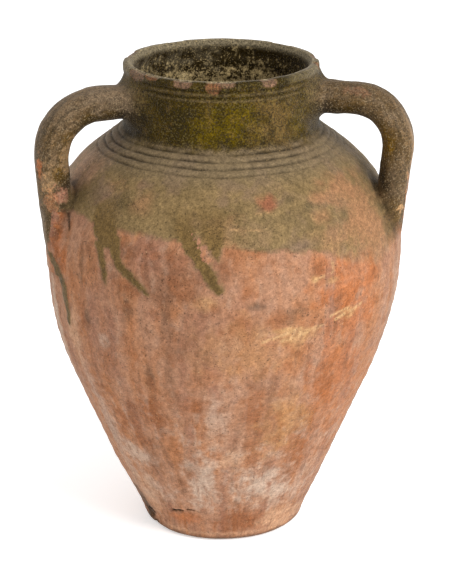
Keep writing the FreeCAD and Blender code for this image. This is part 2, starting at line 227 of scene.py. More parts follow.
neck_side = line((NECK_RADIUS, NECK_FOOT), (waist, LOWER_GROOVE), 0.9)
hollow_share = np.arange(len(neck_side)) / len(neck_side)
neck_side[:, 0] -= NECK_HOLLOW * 4 * hollow_share * (1 - hollow_share)

SECTIONS = {
    "foot": [line((0, 0), (foot_edge - FOOT_ROUND, 0), 3.5),
             arc((foot_edge - FOOT_ROUND, FOOT_ROUND), FOOT_ROUND, -math.pi / 2, 0, 0.9),
             line((foot_edge, FOOT_ROUND), (FOOT_RADIUS, SLAB_TOP), 1.1)],
    "lower": [line((FOOT_RADIUS, SLAB_TOP), (SEAM_RADIUS, LOWER_SEAM), 1.5)],
    "belly": [arc(belly_middle, belly_bend, -belly_angle, 0, 1.5)],
    "shoulder": [arc(shoulder_middle, shoulder_bend, 0, slope_angle, 1.45),
                 line(slope_start, (NECK_RADIUS, NECK_FOOT), 0.8)],
    "neck": [neck_side,
             line((waist, LOWER_GROOVE), (lip, lip_foot), 0.7),
             line((lip, lip_foot), (lip, LIP_TOP - LIP_ROUND), 0.7),
             arc((lip - LIP_ROUND, LIP_TOP - LIP_ROUND), LIP_ROUND, 0, math.pi / 2, 0.55),
             line((lip - LIP_ROUND, LIP_TOP), (MOUTH_RADIUS + MOUTH_BEVEL, LIP_TOP), 0.6)],
    "bore": [line((MOUTH_RADIUS + MOUTH_BEVEL, LIP_TOP), (MOUTH_RADIUS, LIP_TOP - MOUTH_BEVEL_DROP), 0.7),
             line((MOUTH_RADIUS, LIP_TOP - MOUTH_BEVEL_DROP), (MOUTH_RADIUS, seat_height), 1.3)],
    "inner_shoulder": [line((MOUTH_RADIUS, seat_height), slope_inner_start, 4),
                       arc(shoulder_middle, shoulder_bend - WALL, slope_angle, 0, 6)],
    "inner_belly": [arc((belly_middle[0] - WALL, BELLY), belly_bend, 0, -belly_angle, 4)],
    "inner_lower": [line((SEAM_RADIUS - WALL, LOWER_SEAM), (FOOT_RADIUS - WALL, SLAB_TOP), 4)],
    "floor": [line((FOOT_RADIUS - WALL, SLAB_TOP), (0, SLAB_TOP), 4), np.array([[0, SLAB_TOP]])],
}
first_row = {}
profile = np.zeros((0, 2))
for section, runs in SECTIONS.items():
    first_row[section] = len(profile)
    profile = np.concatenate((profile, *runs))
corner_reach = CORNER_REACH + NECK_FOOT_MORE * bell(profile[:, 1] - NECK_FOOT, 6)
corner_reach -= LIP_LESS * smooth(LOWER_GROOVE - 6, LOWER_GROOVE, profile[:, 1])
profile = soften(profile, corner_reach)
outside_rows = np.arange(len(profile)) < first_row["bore"]
outside = outside_rows[:, None]

profile_slope = unit(np.gradient(profile, axis=0))
profile_out = np.column_stack((profile_slope[:, 1], -profile_slope[:, 0]))

azimuth = np.arange(COLUMNS) * 360 / COLUMNS - 180
jar_angle = np.radians(azimuth - PHOTO_TURN)
compass = np.column_stack((np.sin(jar_angle), -np.cos(jar_angle)))

AZIMUTH, HEIGHT = np.broadcast_arrays(azimuth[None, :], profile[:, 1][:, None])
RADIUS = np.broadcast_to(profile[:, 0][:, None], AZIMUTH.shape)


def turned(radius, height):
    """Points of the turned grid at these radii and heights."""
    return np.stack((radius * compass[None, :, 0], radius * compass[None, :, 1], height), axis=-1)


PLACE = turned(RADIUS, HEIGHT)
STREAK_RADIUS = 140.0
UPRIGHT = turned(np.full(AZIMUTH.shape, STREAK_RADIUS), HEIGHT)   # so that streaks run up and down
wander = np.stack([cloud(PLACE, 34, 30 + axis, 2) for axis in range(3)], axis=-1)


def streaks(width, length, seed, octaves=3):
    """Noise drawn out up and down the jar, in lines that wander a little."""
    return cloud((UPRIGHT + 6 * wander) * np.array((1, 1, width / length)), width, seed, octaves)


# Where the glaze lies: a distance in millimetres, positive on the glaze and negative on the bare clay

# Azimuth and height of the glaze's lower edge, and how softly it fades there
GLAZE_EDGE = np.array([
    (-180, 316, 3), (-150, 296, 2), (-122, 312, 3), (-96, 300, 5), (-78, 314, 5), (-63, 322, 2),
    (-51, 326, 2), (-46, 321, 2), (-35, 323, 2.5), (-24, 322, 3), (-10, 319, 2), (0, 318, 4), (4, 319, 3),
    (7, 314, 2), (16, 312, 2), (33, 307, 2), (37, 300, 4), (45, 296, 7), (57, 288, 10), (66, 290, 10),
    (82, 304, 5), (104, 288, 3), (128, 306, 2), (152, 324, 3), (180, 316, 3)])

# Drips: azimuth, height and half-width at each point
DRIPS = [
    [(-13.6, 344, 7), (-12.5, 333, 6.8), (-10.7, 321, 6.3), (-7.6, 311, 6), (-4.9, 300, 5.4),
     (-2.9, 291, 4.8), (-0.7, 280, 3.2)],
    [(-3.2, 345, 10.8), (-2.6, 329, 9.8), (-1.8, 319, 6.4), (-1.2, 309, 2.6)],
    [(-44.3, 332, 12.6), (-42.4, 323, 11.6), (-40, 316, 10.4)],
    [(-42.7, 309, 4.4), (-40.8, 299, 3.6), (-39.3, 287, 2.9), (-38.5, 275, 1.6)],
    [(-36.4, 314, 5.2), (-35.1, 303, 4.2), (-34.1, 295, 4), (-30.1, 288, 4), (-26.4, 281, 3),
     (-23.3, 274, 2)],
    [(-86, 299, 8), (-73.4, 290, 6.5), (-65.7, 274, 5.6), (-61, 256, 4.8), (-59.8, 231, 3.8),
     (-60.3, 219, 2)],
    [(-112, 310, 9), (-111, 290, 5), (-109, 262, 3.4), (-108.4, 238, 2.4)],
    [(-146, 300, 12), (-145, 282, 6), (-144, 266, 3)],
    [(-165, 318, 10), (-163, 300, 6), (-160, 276, 3.6), (-159, 258, 2.6)],
    [(118, 300, 12), (118, 280, 6), (120, 258, 3.6), (120.5, 240, 2.6)],
    [(160, 322, 8), (161, 300, 4.4), (162, 281, 2.6)],
]


def near_line(start, end):
    """Distance of each point of the grid from a straight mark, and its share along the mark."""
    run = math.radians(end[0] - start[0]) * STREAK_RADIUS
    drop = end[1] - start[1]
    across = np.radians(turn_between(AZIMUTH, start[0])) * STREAK_RADIUS
    share = np.clip((across * run + (HEIGHT - start[1]) * drop) / (run ** 2 + drop ** 2), 0, 1)
    return np.hypot(across - run * share, HEIGHT - start[1] - drop * share), share


def drip_depth(path):
    """How deep each point of the grid lies inside one drip."""
    depth = np.full(AZIMUTH.shape, -60.0)
    for start, end in zip(path, path[1:]):
        away, share = near_line(start, end)
        depth = np.maximum(depth, start[2] + (end[2] - start[2]) * share - away)
    return depth


def round_the_jar(column):
    """One column of the table of the glaze's edge, smoothed, at every azimuth."""
    values = np.interp(azimuth, GLAZE_EDGE[:, 0], GLAZE_EDGE[:, column])
    shifted = [np.interp(azimuth, azimuth + shift, values) for shift in (-4, -2, 0, 2, 4)]
    return np.mean(shifted, axis=0)[None, :]


# The handles' middle lines

HANDLE_TOP = 415.5
HANDLE_FOOT = (150.5, 264.0)
HANDLE_START = 74.0
# Each handle's side, and how high, how far out and how tightly bent its line is
HANDLE_LINES = [(-1, -1.5, 161.3, 44.0), (1, 1.0, 163.8, 41.0)]


def handle_path(lift, reach_out, bend):
    """A handle's line in its own plane, as (distance from the axis, height)."""
    top = HANDLE_TOP + lift
    middle = np.array((reach_out - bend, top - bend))
    away = np.array(HANDLE_FOOT) - middle
    lean = math.atan2(away[1], away[0]) + math.acos(bend / math.hypot(*away))
    leg_start = middle + bend * np.array((math.cos(lean), math.sin(lean)))
    path = np.concatenate((line((HANDLE_START, top), (middle[0], top), 1.4),
                           arc(middle, bend, math.pi / 2, lean, 1.4),
                           line(leg_start, HANDLE_FOOT, 1.4), np.array([HANDLE_FOOT])))
    return soften(path, 16)


def in_space(side, flat):
    """Points or directions of a handle's plane, as (x, y, z)."""
    angle = math.radians(side * HANDLE_SWING)
    return np.column_stack((flat[:, 0] * math.sin(angle), -flat[:, 0] * math.cos(angle), flat[:, 1]))


# Noise that the paint and the relief share
broad = cloud(PLACE, 70, 4)
blotch = cloud(PLACE + 10 * wander, 30, 5)
spots = cloud(PLACE, 9, 6, 3)
flecks = cloud(PLACE, 3.6, 18, 2)
streak_wide = streaks(17, 150, 7)
streak_thin = streaks(6, 90, 8)

ragged = 2.2 * cloud(PLACE, 24, 1) + 1.2 * cloud(PLACE, 6, 2, 2)
poured = HEIGHT - round_the_jar(1) + ragged
dripped = np.max([drip_depth(path) for path in DRIPS], axis=0) + 1.3 * cloud(PLACE, 9, 3, 3)
cover = np.maximum(poured, dripped)
fade = np.maximum(round_the_jar(2) * smooth(6, -6, dripped), 0.6)


# Colours of the clay, the glaze, the handles, the lip, the inside and the flecks

CLAY = srgb(190, 142, 112)
TAN = srgb(192, 130, 88)
ORANGE = srgb(196, 117, 68)
PINK = srgb(165, 116, 92)
BROWN = srgb(146, 102, 76)
RUST = srgb(158, 98, 62)
GREY = srgb(112, 88, 70)
PEACH = srgb(220, 174, 138)
BLOOM_AND_RIM_LIGHT = srgb(212, 184, 162)
SCUFF = srgb(210, 164, 114)
SCUFF_PALE = srgb(238, 196, 142)
OCHRE = srgb(196, 148, 96)
TAUPE = srgb(150, 124, 84)
TAUPE_DARK = srgb(118, 98, 64)
TAUPE_PINK = srgb(176, 128, 91)
TAUPE_LILAC = srgb(142, 115, 95)
COMB_GREY = srgb(137, 119, 92)
OLIVE = srgb(76, 59, 6)
OLIVE_GOLD = srgb(104, 85, 0)
OLIVE_BLACK = srgb(44, 36, 12)
OLIVE_GREY = srgb(116, 98, 68)
NECK_BROWN = srgb(122, 96, 54)
RED_BROWN = srgb(163, 92, 68)
DRIP = srgb(126, 100, 60)
HANDLE_BROWN = srgb(98, 76, 46)
HANDLE_PALE = srgb(132, 112, 90)
HANDLE_GOLD = srgb(116, 85, 24)
HANDLE_WHEAT = srgb(160, 128, 92)
LIP_TAUPE = srgb(150, 136, 108)
LIP_PALE = srgb(178, 162, 130)
CHIP_PINK = srgb(148, 113, 90)
CHIP_ORANGE = srgb(150, 100, 68)
INSIDE_DARK = srgb(50, 38, 12)
INSIDE_PALE = srgb(202, 176, 124)
# Next: a real stain on the chipped foot and in cracks, and painted shade beside and under the handles' roots
STAIN_AND_SHADE = srgb(52, 42, 30)
FLECK_CLAY = srgb(214, 172, 130)
FLECK_GLAZE = srgb(178, 148, 104)
FLECK_NECK = srgb(122, 106, 62)
FLECK_HANDLE = srgb(164, 142, 110)

# Soft patches of colour: azimuth, height, half-width, half-height, colour and strength
CLAY_PATCHES = [
    (42, 274, 30, 20, ORANGE, 0.75), (32, 298, 14, 7, ORANGE, 0.5), (45, 243, 26, 18, ORANGE, 0.6),
    (41, 187, 26, 35, ORANGE, 0.6), (35, 94, 16, 17, RUST, 0.5), (34, 132, 9, 33, RUST, 0.5),
    (62, 150, 20, 60, TAN, 0.6), (-10, 163, 9, 16, RUST, 0.7), (-26, 150, 12, 22, RUST, 0.7),
    (-37, 134, 11, 21, RUST, 0.6), (11, 161, 8, 21, RUST, 0.7), (18, 142, 8, 17, RUST, 0.5),
    (-3, 197, 12, 11, TAN, 0.5), (15, 24, 26, 15, RUST, 0.8), (-23, 25, 14, 7, ORANGE, 0.6),
    (-43, 24, 13, 9, RUST, 0.2), (-64, 284, 9, 28, RUST, 0.9), (-47, 284, 9, 21, TAN, 0.5),
    (-23, 302, 26, 15, PINK, 0.8), (-13, 304, 12, 12, BROWN, 0.3), (6, 245, 26, 29, PINK, 0.35),
    (-42, 229, 21, 42, PINK, 0.55), (-60, 180, 30, 60, PINK, 0.35), (-34, 97, 10, 21, BROWN, 0.6),
    (-31, 307, 7, 7, GREY, 0.35), (-16, 279, 6, 12, GREY, 0.65), (-30, 255, 5, 9, GREY, 0.55),
    (-17, 253, 5, 21, GREY, 0.45), (-24, 191, 4, 10, GREY, 0.55), (-17, 200, 4, 19, GREY, 0.35),
    (22, 257, 10, 8, GREY, 0.45), (11, 266, 8, 3, GREY, 0.6), (-48, 234, 4, 9, GREY, 0.7),
    (-50, 281, 4, 16, GREY, 0.5), (-62, 18, 11, 18, STAIN_AND_SHADE, 0.9), (-10, 76, 7, 12, GREY, 0.3),
    (-43, 95, 14, 11, BLOOM_AND_RIM_LIGHT, 0.75), (-9, 74, 13, 28, BLOOM_AND_RIM_LIGHT, 0.9), (19, 68, 23, 18, BLOOM_AND_RIM_LIGHT, 0.95),
    (31, 57, 12, 11, BLOOM_AND_RIM_LIGHT, 0.7), (11, 111, 17, 17, BLOOM_AND_RIM_LIGHT, 0.15), (-2, 150, 9, 26, BLOOM_AND_RIM_LIGHT, 0.5),
    (3, 182, 16, 15, BLOOM_AND_RIM_LIGHT, 0.1), (-41, 218, 6, 8, BLOOM_AND_RIM_LIGHT, 0.5), (-54, 117, 9, 55, BLOOM_AND_RIM_LIGHT, 0.5),
    # The pale patches at -72 and 74 on the next line are painted rim light along the jar's two sides
    (-72, 210, 8, 50, BLOOM_AND_RIM_LIGHT, 0.8), (74, 240, 8, 50, BLOOM_AND_RIM_LIGHT, 0.4), (48, 70, 10, 34, BLOOM_AND_RIM_LIGHT, 0.4),
    (25, 141, 19, 27, OCHRE, 0.5), (6, 225, 35, 24, OCHRE, 0.35), (-5, 269, 14, 6, SCUFF, 0.6),
    (36, 22, 18, 12, PEACH, 0.8), (52, 15, 26, 12, PEACH, 0.7), (30, 47, 15, 10, BLOOM_AND_RIM_LIGHT, 0.7),
    (22, 234, 19, 8, SCUFF, 0.65), (19, 241, 10, 2, SCUFF, 0.9), (43, 246, 11, 5, SCUFF, 0.7),
    (30, 284, 4, 3, SCUFF, 0.9), (36, 280, 6, 3, SCUFF, 0.6), (-14, 282, 30, 22, BROWN, 0.65),
    (-14, 229, 16, 15, BROWN, 0.55), (-17, 181, 9, 15, BROWN, 0.5), (-36, 288, 9, 13, BROWN, 0.5),
    (-13, 98, 9, 14, BROWN, 0.35), (14, 113, 9, 12, RUST, 0.5), (36, 183, 15, 20, RUST, 0.55),
    (-58, 208, 10, 20, PEACH, 0.65), (24, 178, 8, 12, PEACH, 0.4), (-42, 50, 15, 14, BLOOM_AND_RIM_LIGHT, 0.55),
    (1, 294, 7, 10, BROWN, 0.5), (5, 99, 9, 12, PEACH, 0.6), (3, 233, 9, 9, PEACH, 0.4),
    (11, 190, 10, 9, BROWN, 0.4), (-98, 240, 30, 50, TAN, 0.6), (-128, 180, 34, 56, ORANGE, 0.45),
    (-112, 90, 26, 40, BLOOM_AND_RIM_LIGHT, 0.6), (-140, 235, 10, 24, GREY, 0.6), (-160, 130, 30, 50, PINK, 0.6),
    (-172, 60, 26, 28, BLOOM_AND_RIM_LIGHT, 0.65), (176, 230, 40, 40, TAN, 0.6), (150, 180, 24, 50, ORANGE, 0.5),
    (140, 90, 28, 44, BLOOM_AND_RIM_LIGHT, 0.6), (126, 240, 12, 26, GREY, 0.6), (104, 190, 30, 60, PINK, 0.6),
    (96, 110, 22, 46, TAN, 0.6), (112, 40, 22, 20, BROWN, 0.5), (165, 255, 16, 8, SCUFF, 0.6),
    (-105, 205, 18, 8, SCUFF, 0.6), (-63.5, 298, 6, 14, ORANGE, 0.6), (-60.5, 282, 5, 12, ORANGE, 0.55),
    (-8, 221, 8, 10, BROWN, 0.35), (26, 49, 9, 8, PEACH, 0.3), (-20, 283, 13, 15, BROWN, 0.55),
    (-4, 255, 45, 50, RUST, 0.14), (52, 140, 28, 55, ORANGE, 0.25), (-46, 46, 14, 20, PEACH, 0.45),
    (-1, 299, 9, 9, BROWN, 0.5), (-54, 242, 8, 12, PEACH, 0.3),
]
SHOULDER_PATCHES = [
    (58, 320, 26, 30, TAUPE_PINK, 0.7), (50, 348, 17, 9, TAUPE_PINK, 0.9), (39, 347, 9, 4, TAUPE_PINK, 0.8),
    (37, 333, 9, 5, TAUPE_PINK, 0.7), (55, 326, 17, 9, TAUPE_PINK, 0.7), (42, 315, 26, 12, TAUPE_PINK, 0.5),
    (26, 349, 4, 3, OLIVE_GREY, 0.8), (33, 342, 4, 3, OLIVE_GREY, 0.9), (47, 329, 4, 5, OLIVE_GREY, 0.9),
    (16, 336, 8, 3, OLIVE_GREY, 0.5), (23, 336, 6, 3, OLIVE_GREY, 0.5), (-38, 343, 11, 10, TAUPE_DARK, 0.9),
    (-51, 346, 15, 6, TAUPE_LILAC, 0.7), (-30, 345, 9, 7, TAUPE_PINK, 0.5), (-31, 332, 26, 6, TAUPE, 0.6),
    (11, 324, 26, 9, TAUPE, 0.6), (26, 313, 15, 4, TAUPE_LILAC, 0.6), (60, 306, 20, 14, TAUPE_PINK, 0.75),
    # Painted light at -77 where the left handle shades the shoulder; painted shade at 70 by the right
    # handle's root
    (-66, 350, 10, 16, TAUPE_PINK, 0.6), (70, 306, 8, 14, TAUPE_DARK, 0.7), (-77, 356, 22, 26, PEACH, 0.8),
    # The dark taupe patch at -61 is painted shade beside the left handle's root
    (-61, 335, 13, 10, TAUPE_DARK, 0.8), (-7, 335, 19, 10, DRIP, 0.55),
    (-100, 340, 30, 24, TAUPE_PINK, 0.5), (-135, 330, 26, 24, TAUPE_DARK, 0.6),
    (165, 345, 30, 20, TAUPE_PINK, 0.5), (125, 330, 24, 24, TAUPE_DARK, 0.5),
    (95, 345, 20, 20, OLIVE_GREY, 0.4),
]
NECK_PATCHES = [
    (-1, 401, 25, 21, OLIVE_GOLD, 0.8), (10, 412, 15, 13, OLIVE_GOLD, 0.6),
    (50, 399, 10, 7, OLIVE_GOLD, 0.9), (34, 404, 18, 22, NECK_BROWN, 0.85),
    (-26, 406, 14, 18, OLIVE_BLACK, 0.6), (-52, 428, 18, 12, OLIVE_BLACK, 0.5),
    (66, 415, 22, 30, OLIVE_GREY, 0.8), (-68, 420, 22, 26, OLIVE_GREY, 0.8),
    (-50, 398, 14, 12, OLIVE_BLACK, 0.4), (-95, 425, 20, 12, OLIVE_BLACK, 0.5),
    (110, 408, 26, 16, OLIVE_GOLD, 0.5), (175, 404, 26, 14, OLIVE_GREY, 0.6),
    (-130, 410, 30, 16, OLIVE_GOLD, 0.6), (145, 425, 24, 10, OLIVE_BLACK, 0.6),
    (90, 395, 22, 10, NECK_BROWN, 0.5), (-160, 395, 24, 10, NECK_BROWN, 0.5),
]
# Chips that hang from the lip's crest
LIP_CHIPS = [
    (-23, 443, 8, 5, CHIP_PINK, 0.85), (-4, 442, 7, 7, CHIP_ORANGE, 0.9), (3, 444, 8, 4, CHIP_PINK, 0.8),
    (29, 443, 8, 5, CHIP_PINK, 0.85), (-58, 443, 12, 6.5, CHIP_PINK, 0.8),
    (-45, 445, 8, 4, CHIP_ORANGE, 0.7), (81, 443, 5, 4, CHIP_ORANGE, 0.8),
    (140, 442, 10, 6, CHIP_PINK, 0.8), (-150, 442, 9, 6, CHIP_ORANGE, 0.8),
    (-105, 443, 12, 5, CHIP_PINK, 0.8), (100, 444, 9, 4, CHIP_PINK, 0.8),
]
patch_noise = [cloud(PLACE, 16, 20 + number) for number in range(5)]
round_edge = 0.45 * spots + 0.2 * flecks
drawn_edge = 0.55 * streak_thin + 0.3 * streak_wide + 0.3 * spots + 0.25 * flecks


def patch_share(number, middle, high, half_width, half_height, soft=0.6, edge=round_edge):
    """How strongly a ragged patch covers each point, from 0 to 1. Small patches keep more of their shape."""
    across = np.radians(turn_between(AZIMUTH, middle)) * RADIUS / half_width
    up = (HEIGHT - high) / half_height
    raggedness = 0.75 * np.clip(min(half_width, half_height) / 10, 0.35, 1)
    uneven = patch_noise[number % len(patch_noise)] + edge
    return smooth(-soft, soft, 1 - np.hypot(across, up) + raggedness * uneven)


def painted(ground, patches, soft=0.6, edge=round_edge):
    """Ground colour with patches laid over it."""
    for number, (middle, high, half_width, half_height, colour, strength) in enumerate(patches):
        share = patch_share(number, middle, high, half_width, half_height, soft, edge)
        ground = mix(ground, colour, share * strength)
    return ground


def plain(colour, points=PLACE):
    """One colour all over a grid of points."""
    return np.broadcast_to(colour, points.shape)


def washed(ground, *washes):
    """Colour under washes: each a colour, its strength, and noise that brings it in between two values."""
    for colour, strength, low, high, noise in washes:
        ground = mix(ground, colour, strength * smooth(low, high, noise))
    return ground


# Bare clay: tints drawn out up and down, patches, thin streaks, bloom, and painted light and shade at the
# foot
mottled = cloud(PLACE + 4 * wander, 15, 19)
above_foot = smooth(30, 46, HEIGHT)
streaky_bloom = (0.15 + 0.25 * smooth(200, 110, HEIGHT)) * above_foot
mottled_bloom = (0.1 + 0.25 * smooth(170, 90, HEIGHT)) * above_foot
foot_bevel_highlight = 0.45 * bell(HEIGHT - 8.5 + spots, 1.8)
clay_tint = washed(
    plain(CLAY),
    (TAN, 0.8, -0.2, 0.7, streak_wide + 0.4 * broad),
    (PINK, 0.8, 0.0, 0.8, -streak_wide + 0.5 * blotch))
clay_tint = painted(clay_tint, CLAY_PATCHES, edge=drawn_edge)
clay_tint = washed(
    clay_tint,
    (BROWN, 0.55, 0.1, 0.7, 0.8 * streak_thin + 0.5 * blotch),
    (BLOOM_AND_RIM_LIGHT, streaky_bloom, 0.2, 0.8, -0.8 * streak_thin + 0.6 * spots),
    (GREY, 0.4, 0.4, 0.9, 0.7 * spots + 0.5 * flecks + 0.3 * blotch),
    (RUST, 0.45, 0.1, 0.8, mottled + 0.4 * streak_wide),
    (BLOOM_AND_RIM_LIGHT, mottled_bloom, 0.1, 0.8, -mottled + 0.3 * spots),
    # A painted highlight along the foot's bevel, and a painted contact shadow along its bottom edge
    (PEACH, foot_bevel_highlight, -52, -40, azimuth),
    (GREY, 0.7, 7, 3, HEIGHT + 2 * spots))
clay_tint = clay_tint * (1 + 0.25 * flecks)[..., None]

# Straight marks, by both ends as azimuth and height, and the half-width: cracks low on the front,
# brown streaks and pale scuffs on the clay, painted shadow by the left handle's root, and scratches in the
# glaze
CRACKS = [((-31, 31), (-23.5, 33.2), 0.35), ((-20.8, 35.4), (-16.4, 36), 0.35)]
STREAK_LINES = [((-28, 118), (-25, 98), 1.5), ((-25, 98), (-20, 58), 1.2)]
SCUFF_LINES = [((37.6, 308), (36.3, 283), 0.3), ((13, 232), (25, 241), 0.6), ((19, 231), (31, 238), 0.6),
               ((24, 237), (33, 240), 0.4), ((38, 243), (49, 250), 0.7), ((36, 247), (44, 251), 0.4),
               ((30, 283), (33, 285), 0.5)]
# A painted shadow line along the left handle's root
ROOT_SHADOW_LINES = [((-67, 332), (-63.2, 323), 1.2), ((-63.2, 323), (-59.8, 310), 1.0)]
SCRATCHES = [((38.2, 316), (36.5, 287), 0.4), ((3, 331), (14, 329), 0.4), ((9, 343), (14, 341), 0.4)]
# Spots where the glaze has flaked off the long drip: azimuth, height, half-width and half-height
BARE_SPOTS = [(-10.4, 337, 3.4, 2), (-9, 329, 2.4, 6), (-7.2, 321, 1.4, 5), (-5.6, 313, 2.2, 4.5),
              (-4.6, 307, 3.4, 2.6)]


def line_share(lines, soft):
    """Share of straight marks on each point of the outside."""
    shares = [smooth(half + soft, half, near_line(start, end)[0] + 0.8 * spots) for start, end, half in lines]
    return np.max(shares, axis=0) * outside


crack = line_share(CRACKS, 0.8)
bared = np.max([patch_share(number, *spot, 0.4) for number, spot in enumerate(BARE_SPOTS)], axis=0)
bared = bared * smooth(-0.5, 0.3, flecks + 0.5 * spots)
cover = cover - 12 * bared
streak_mark = 0.65 * line_share(STREAK_LINES, 6.0)
scuff_mark = 0.55 * line_share(SCUFF_LINES, 1.8)
clay_tint = washed(clay_tint, (BROWN * 0.8, streak_mark, -0.7, 0.3, spots + streak_thin))
clay_tint = mix(clay_tint, STAIN_AND_SHADE * 0.5, crack)
clay_tint = washed(clay_tint, (SCUFF_PALE, scuff_mark, -0.4, 0.3, flecks + 0.5 * spots))
clay_tint = mix(clay_tint, TAN, 0.6 * bared)
scratched = 0.5 * line_share(SCRATCHES, 0.8) * smooth(-0.3, 0.4, spots + 0.5 * flecks)


def from_handle(side):
    """Degrees from one handle's plane, either way."""
    return np.abs(turn_between(AZIMUTH, side * HANDLE_SWING + PHOTO_TURN))


# Painted shade on the wall in the creases beside each handle, by distance from the bar
BAR_HALF = 18
ROOT_FLARE = 14       # how much wider the upper root is
crease_shade = np.zeros(AZIMUTH.shape)
for side, lift, reach_out, bend in HANDLE_LINES:
    near = (from_handle(side) < 50) & outside & (HEIGHT > 280) & (HEIGHT < HANDLE_TOP)
    bar_line = in_space(side, handle_path(lift, reach_out, bend)[::3])
    away = np.min([np.linalg.norm(PLACE[near] - point, axis=-1) for point in bar_line], axis=0)
    away = away - BAR_HALF - ROOT_FLARE * smooth(375, 392, HEIGHT[near])
    nearby_shade = 0.6 * smooth(5, 1, away) + 0.12 * smooth(22, 4, away)
    crease_shade[near] = np.maximum(crease_shade[near], nearby_shade * smooth(HANDLE_TOP - 2, HANDLE_TOP - 12, HEIGHT[near]))
crease_shade = np.clip(crease_shade * smooth(284, 302, HEIGHT) * (0.9 + 0.4 * spots), 0, 1)
crease_shade = np.maximum(crease_shade, line_share(ROOT_SHADOW_LINES, 1.5))
# Painted shade darkens the clay in the creases beside the handles
clay_tint = mix(clay_tint, STAIN_AND_SHADE, 0.85 * crease_shade)

# Combed rings on the shoulder and the two grooves under the lip
RING_STRENGTHS = (0.65, 0.9, 1.0, 0.9)
GROOVE_HALF = 1.25
slope_along = (HEIGHT - slope_start[1]) / math.cos(slope_angle) + 1.5 * cloud(PLACE, 55, 9, 3)
ring_worn = np.clip(0.85 + 0.8 * blotch - 0.4 * smooth(20, 60, azimuth)[None, :], 0.3, 1.3)
on_slope = (HEIGHT > slope_start[1] - 6) & (HEIGHT < NECK_FOOT) & outside
comb_groove = np.zeros(AZIMUTH.shape)
comb_ridge = np.zeros(AZIMUTH.shape)
for middle, strength in zip(np.linspace(COMB_MARGIN, SLOPE_LENGTH - COMB_MARGIN, COMB_COUNT), RING_STRENGTHS):
    comb_groove += strength * bell(slope_along - middle, GROOVE_HALF) * on_slope * ring_worn
    comb_ridge += strength * bell(slope_along - middle - 3.6, 1.8) * on_slope * ring_worn
handle_near = np.max([smooth(26, 14, from_handle(side)) for side in (-1, 1)], axis=0)
cord_groove = np.zeros(AZIMUTH.shape)
for middle in (UPPER_GROOVE, LOWER_GROOVE):
    cord_groove += bell(HEIGHT - middle + 0.4 * broad, GROOVE_HALF)
cord_groove *= (1 - handle_near) * outside

# Glaze: taupe on the shoulder, darker in the drips, mossy olive on the neck, dark and crusted inside
cloudy = cloud(PLACE + 8 * wander, 36, 30)
taupe = washed(
    plain(TAUPE),
    (TAUPE_DARK, 0.6, -0.2, 0.8, blotch + 0.4 * streak_wide),
    (TAUPE_PINK, 0.5, 0.1, 0.8, broad + 0.4 * spots),
    (TAUPE_DARK, 0.6, 0.0, 0.7, cloudy + 0.3 * spots),
    (TAUPE_LILAC, 0.5, 0.0, 0.7, -cloudy + 0.3 * spots))
taupe = painted(taupe, SHOULDER_PATCHES, 0.9)
taupe = mix(taupe, RED_BROWN, 0.7 * patch_share(0, 17, 348, 8, 6))
taupe = washed(
    taupe,
    (DRIP, smooth(-3, 3, dripped), -26, 4, 6 - poured),
    (DRIP * 0.6, 0.6 * smooth(304, 284, HEIGHT), -1, 3, dripped),
    (COMB_GREY, 0.7, slope_start[1] - 10, slope_start[1] + 8, HEIGHT))
mossy = cloud(PLACE, 11, 11)
olive = washed(plain(OLIVE), (OLIVE_GOLD, 0.5, 0.1, 0.9, cloud(PLACE, 17, 10) + 0.3 * spots))
olive = painted(olive, NECK_PATCHES, 0.9)
olive = washed(
    olive,
    (OLIVE_BLACK, 0.65, 0.0, 0.7, mossy + 0.7 * flecks),
    (NECK_BROWN, 0.35, 0.2, 0.8, -mossy + 0.6 * flecks))
lip_face = smooth(lip_foot - 1, lip_foot + 2, HEIGHT)
lip_side = smooth(35, 75, np.abs(azimuth) + 14 * blotch)
olive = mix(olive, OLIVE_BLACK, 0.5 * lip_face * (1 - lip_side))
olive = mix(olive, LIP_TAUPE, 0.75 * lip_face * lip_side)
olive = painted(olive, LIP_CHIPS, 0.15)
glaze_tint = mix(taupe, olive, smooth(NECK_FOOT - 7, NECK_FOOT + 5, HEIGHT + 4 * spots))
neck_foot_shade = bell(HEIGHT - NECK_FOOT - 2, 4) * outside
# Painted shade in the combed grooves, in the grooves under the lip and along the neck's foot
shade = 1 - 0.65 * np.clip(comb_groove, 0, 1) - 0.45 * np.clip(cord_groove, 0, 1) - 0.3 * neck_foot_shade
# A painted highlight on the combed ridges
glaze_tint = mix(glaze_tint * shade[..., None], HANDLE_PALE, 0.25 * np.clip(comb_ridge, 0, 1))
# Pale scratches, then painted shade darkening the glaze in the creases beside the handles
glaze_tint = mix(mix(glaze_tint, SCUFF, scratched), STAIN_AND_SHADE, 0.85 * crease_shade)
# A painted highlight on the ridges between and under the lip's grooves
cord_highlight = bell(HEIGHT - (UPPER_GROOVE + LOWER_GROOVE) / 2, 1.2) + bell(HEIGHT - LOWER_GROOVE + 2.6, 1.0)
cord_highlight = cord_highlight * (1 - handle_near) * outside * smooth(-0.3, 0.4, spots + 0.4)
glaze_tint = mix(glaze_tint, OLIVE_GREY, 0.75 * np.clip(cord_highlight, 0, 1))
glaze_tint = glaze_tint * (1 + 0.22 * flecks)[..., None]

crust = smooth(434, 402, HEIGHT + 8 * blotch) * smooth(300, 350, HEIGHT)
inside_tint = washed(
    plain(INSIDE_DARK),
    (INSIDE_PALE, 0.8, 0.15, 0.6, 0.8 * flecks + 0.5 * spots - 0.2 + 0.8 * crust),
    (LIP_TAUPE, 0.3 * smooth(-40, -100, azimuth + 30 * blotch), -0.3, 0.5, spots),
    (LIP_TAUPE, 0.9, LIP_TOP - 9, LIP_TOP - 3, HEIGHT))
glaze_tint = np.where(outside[..., None], glaze_tint, inside_tint)
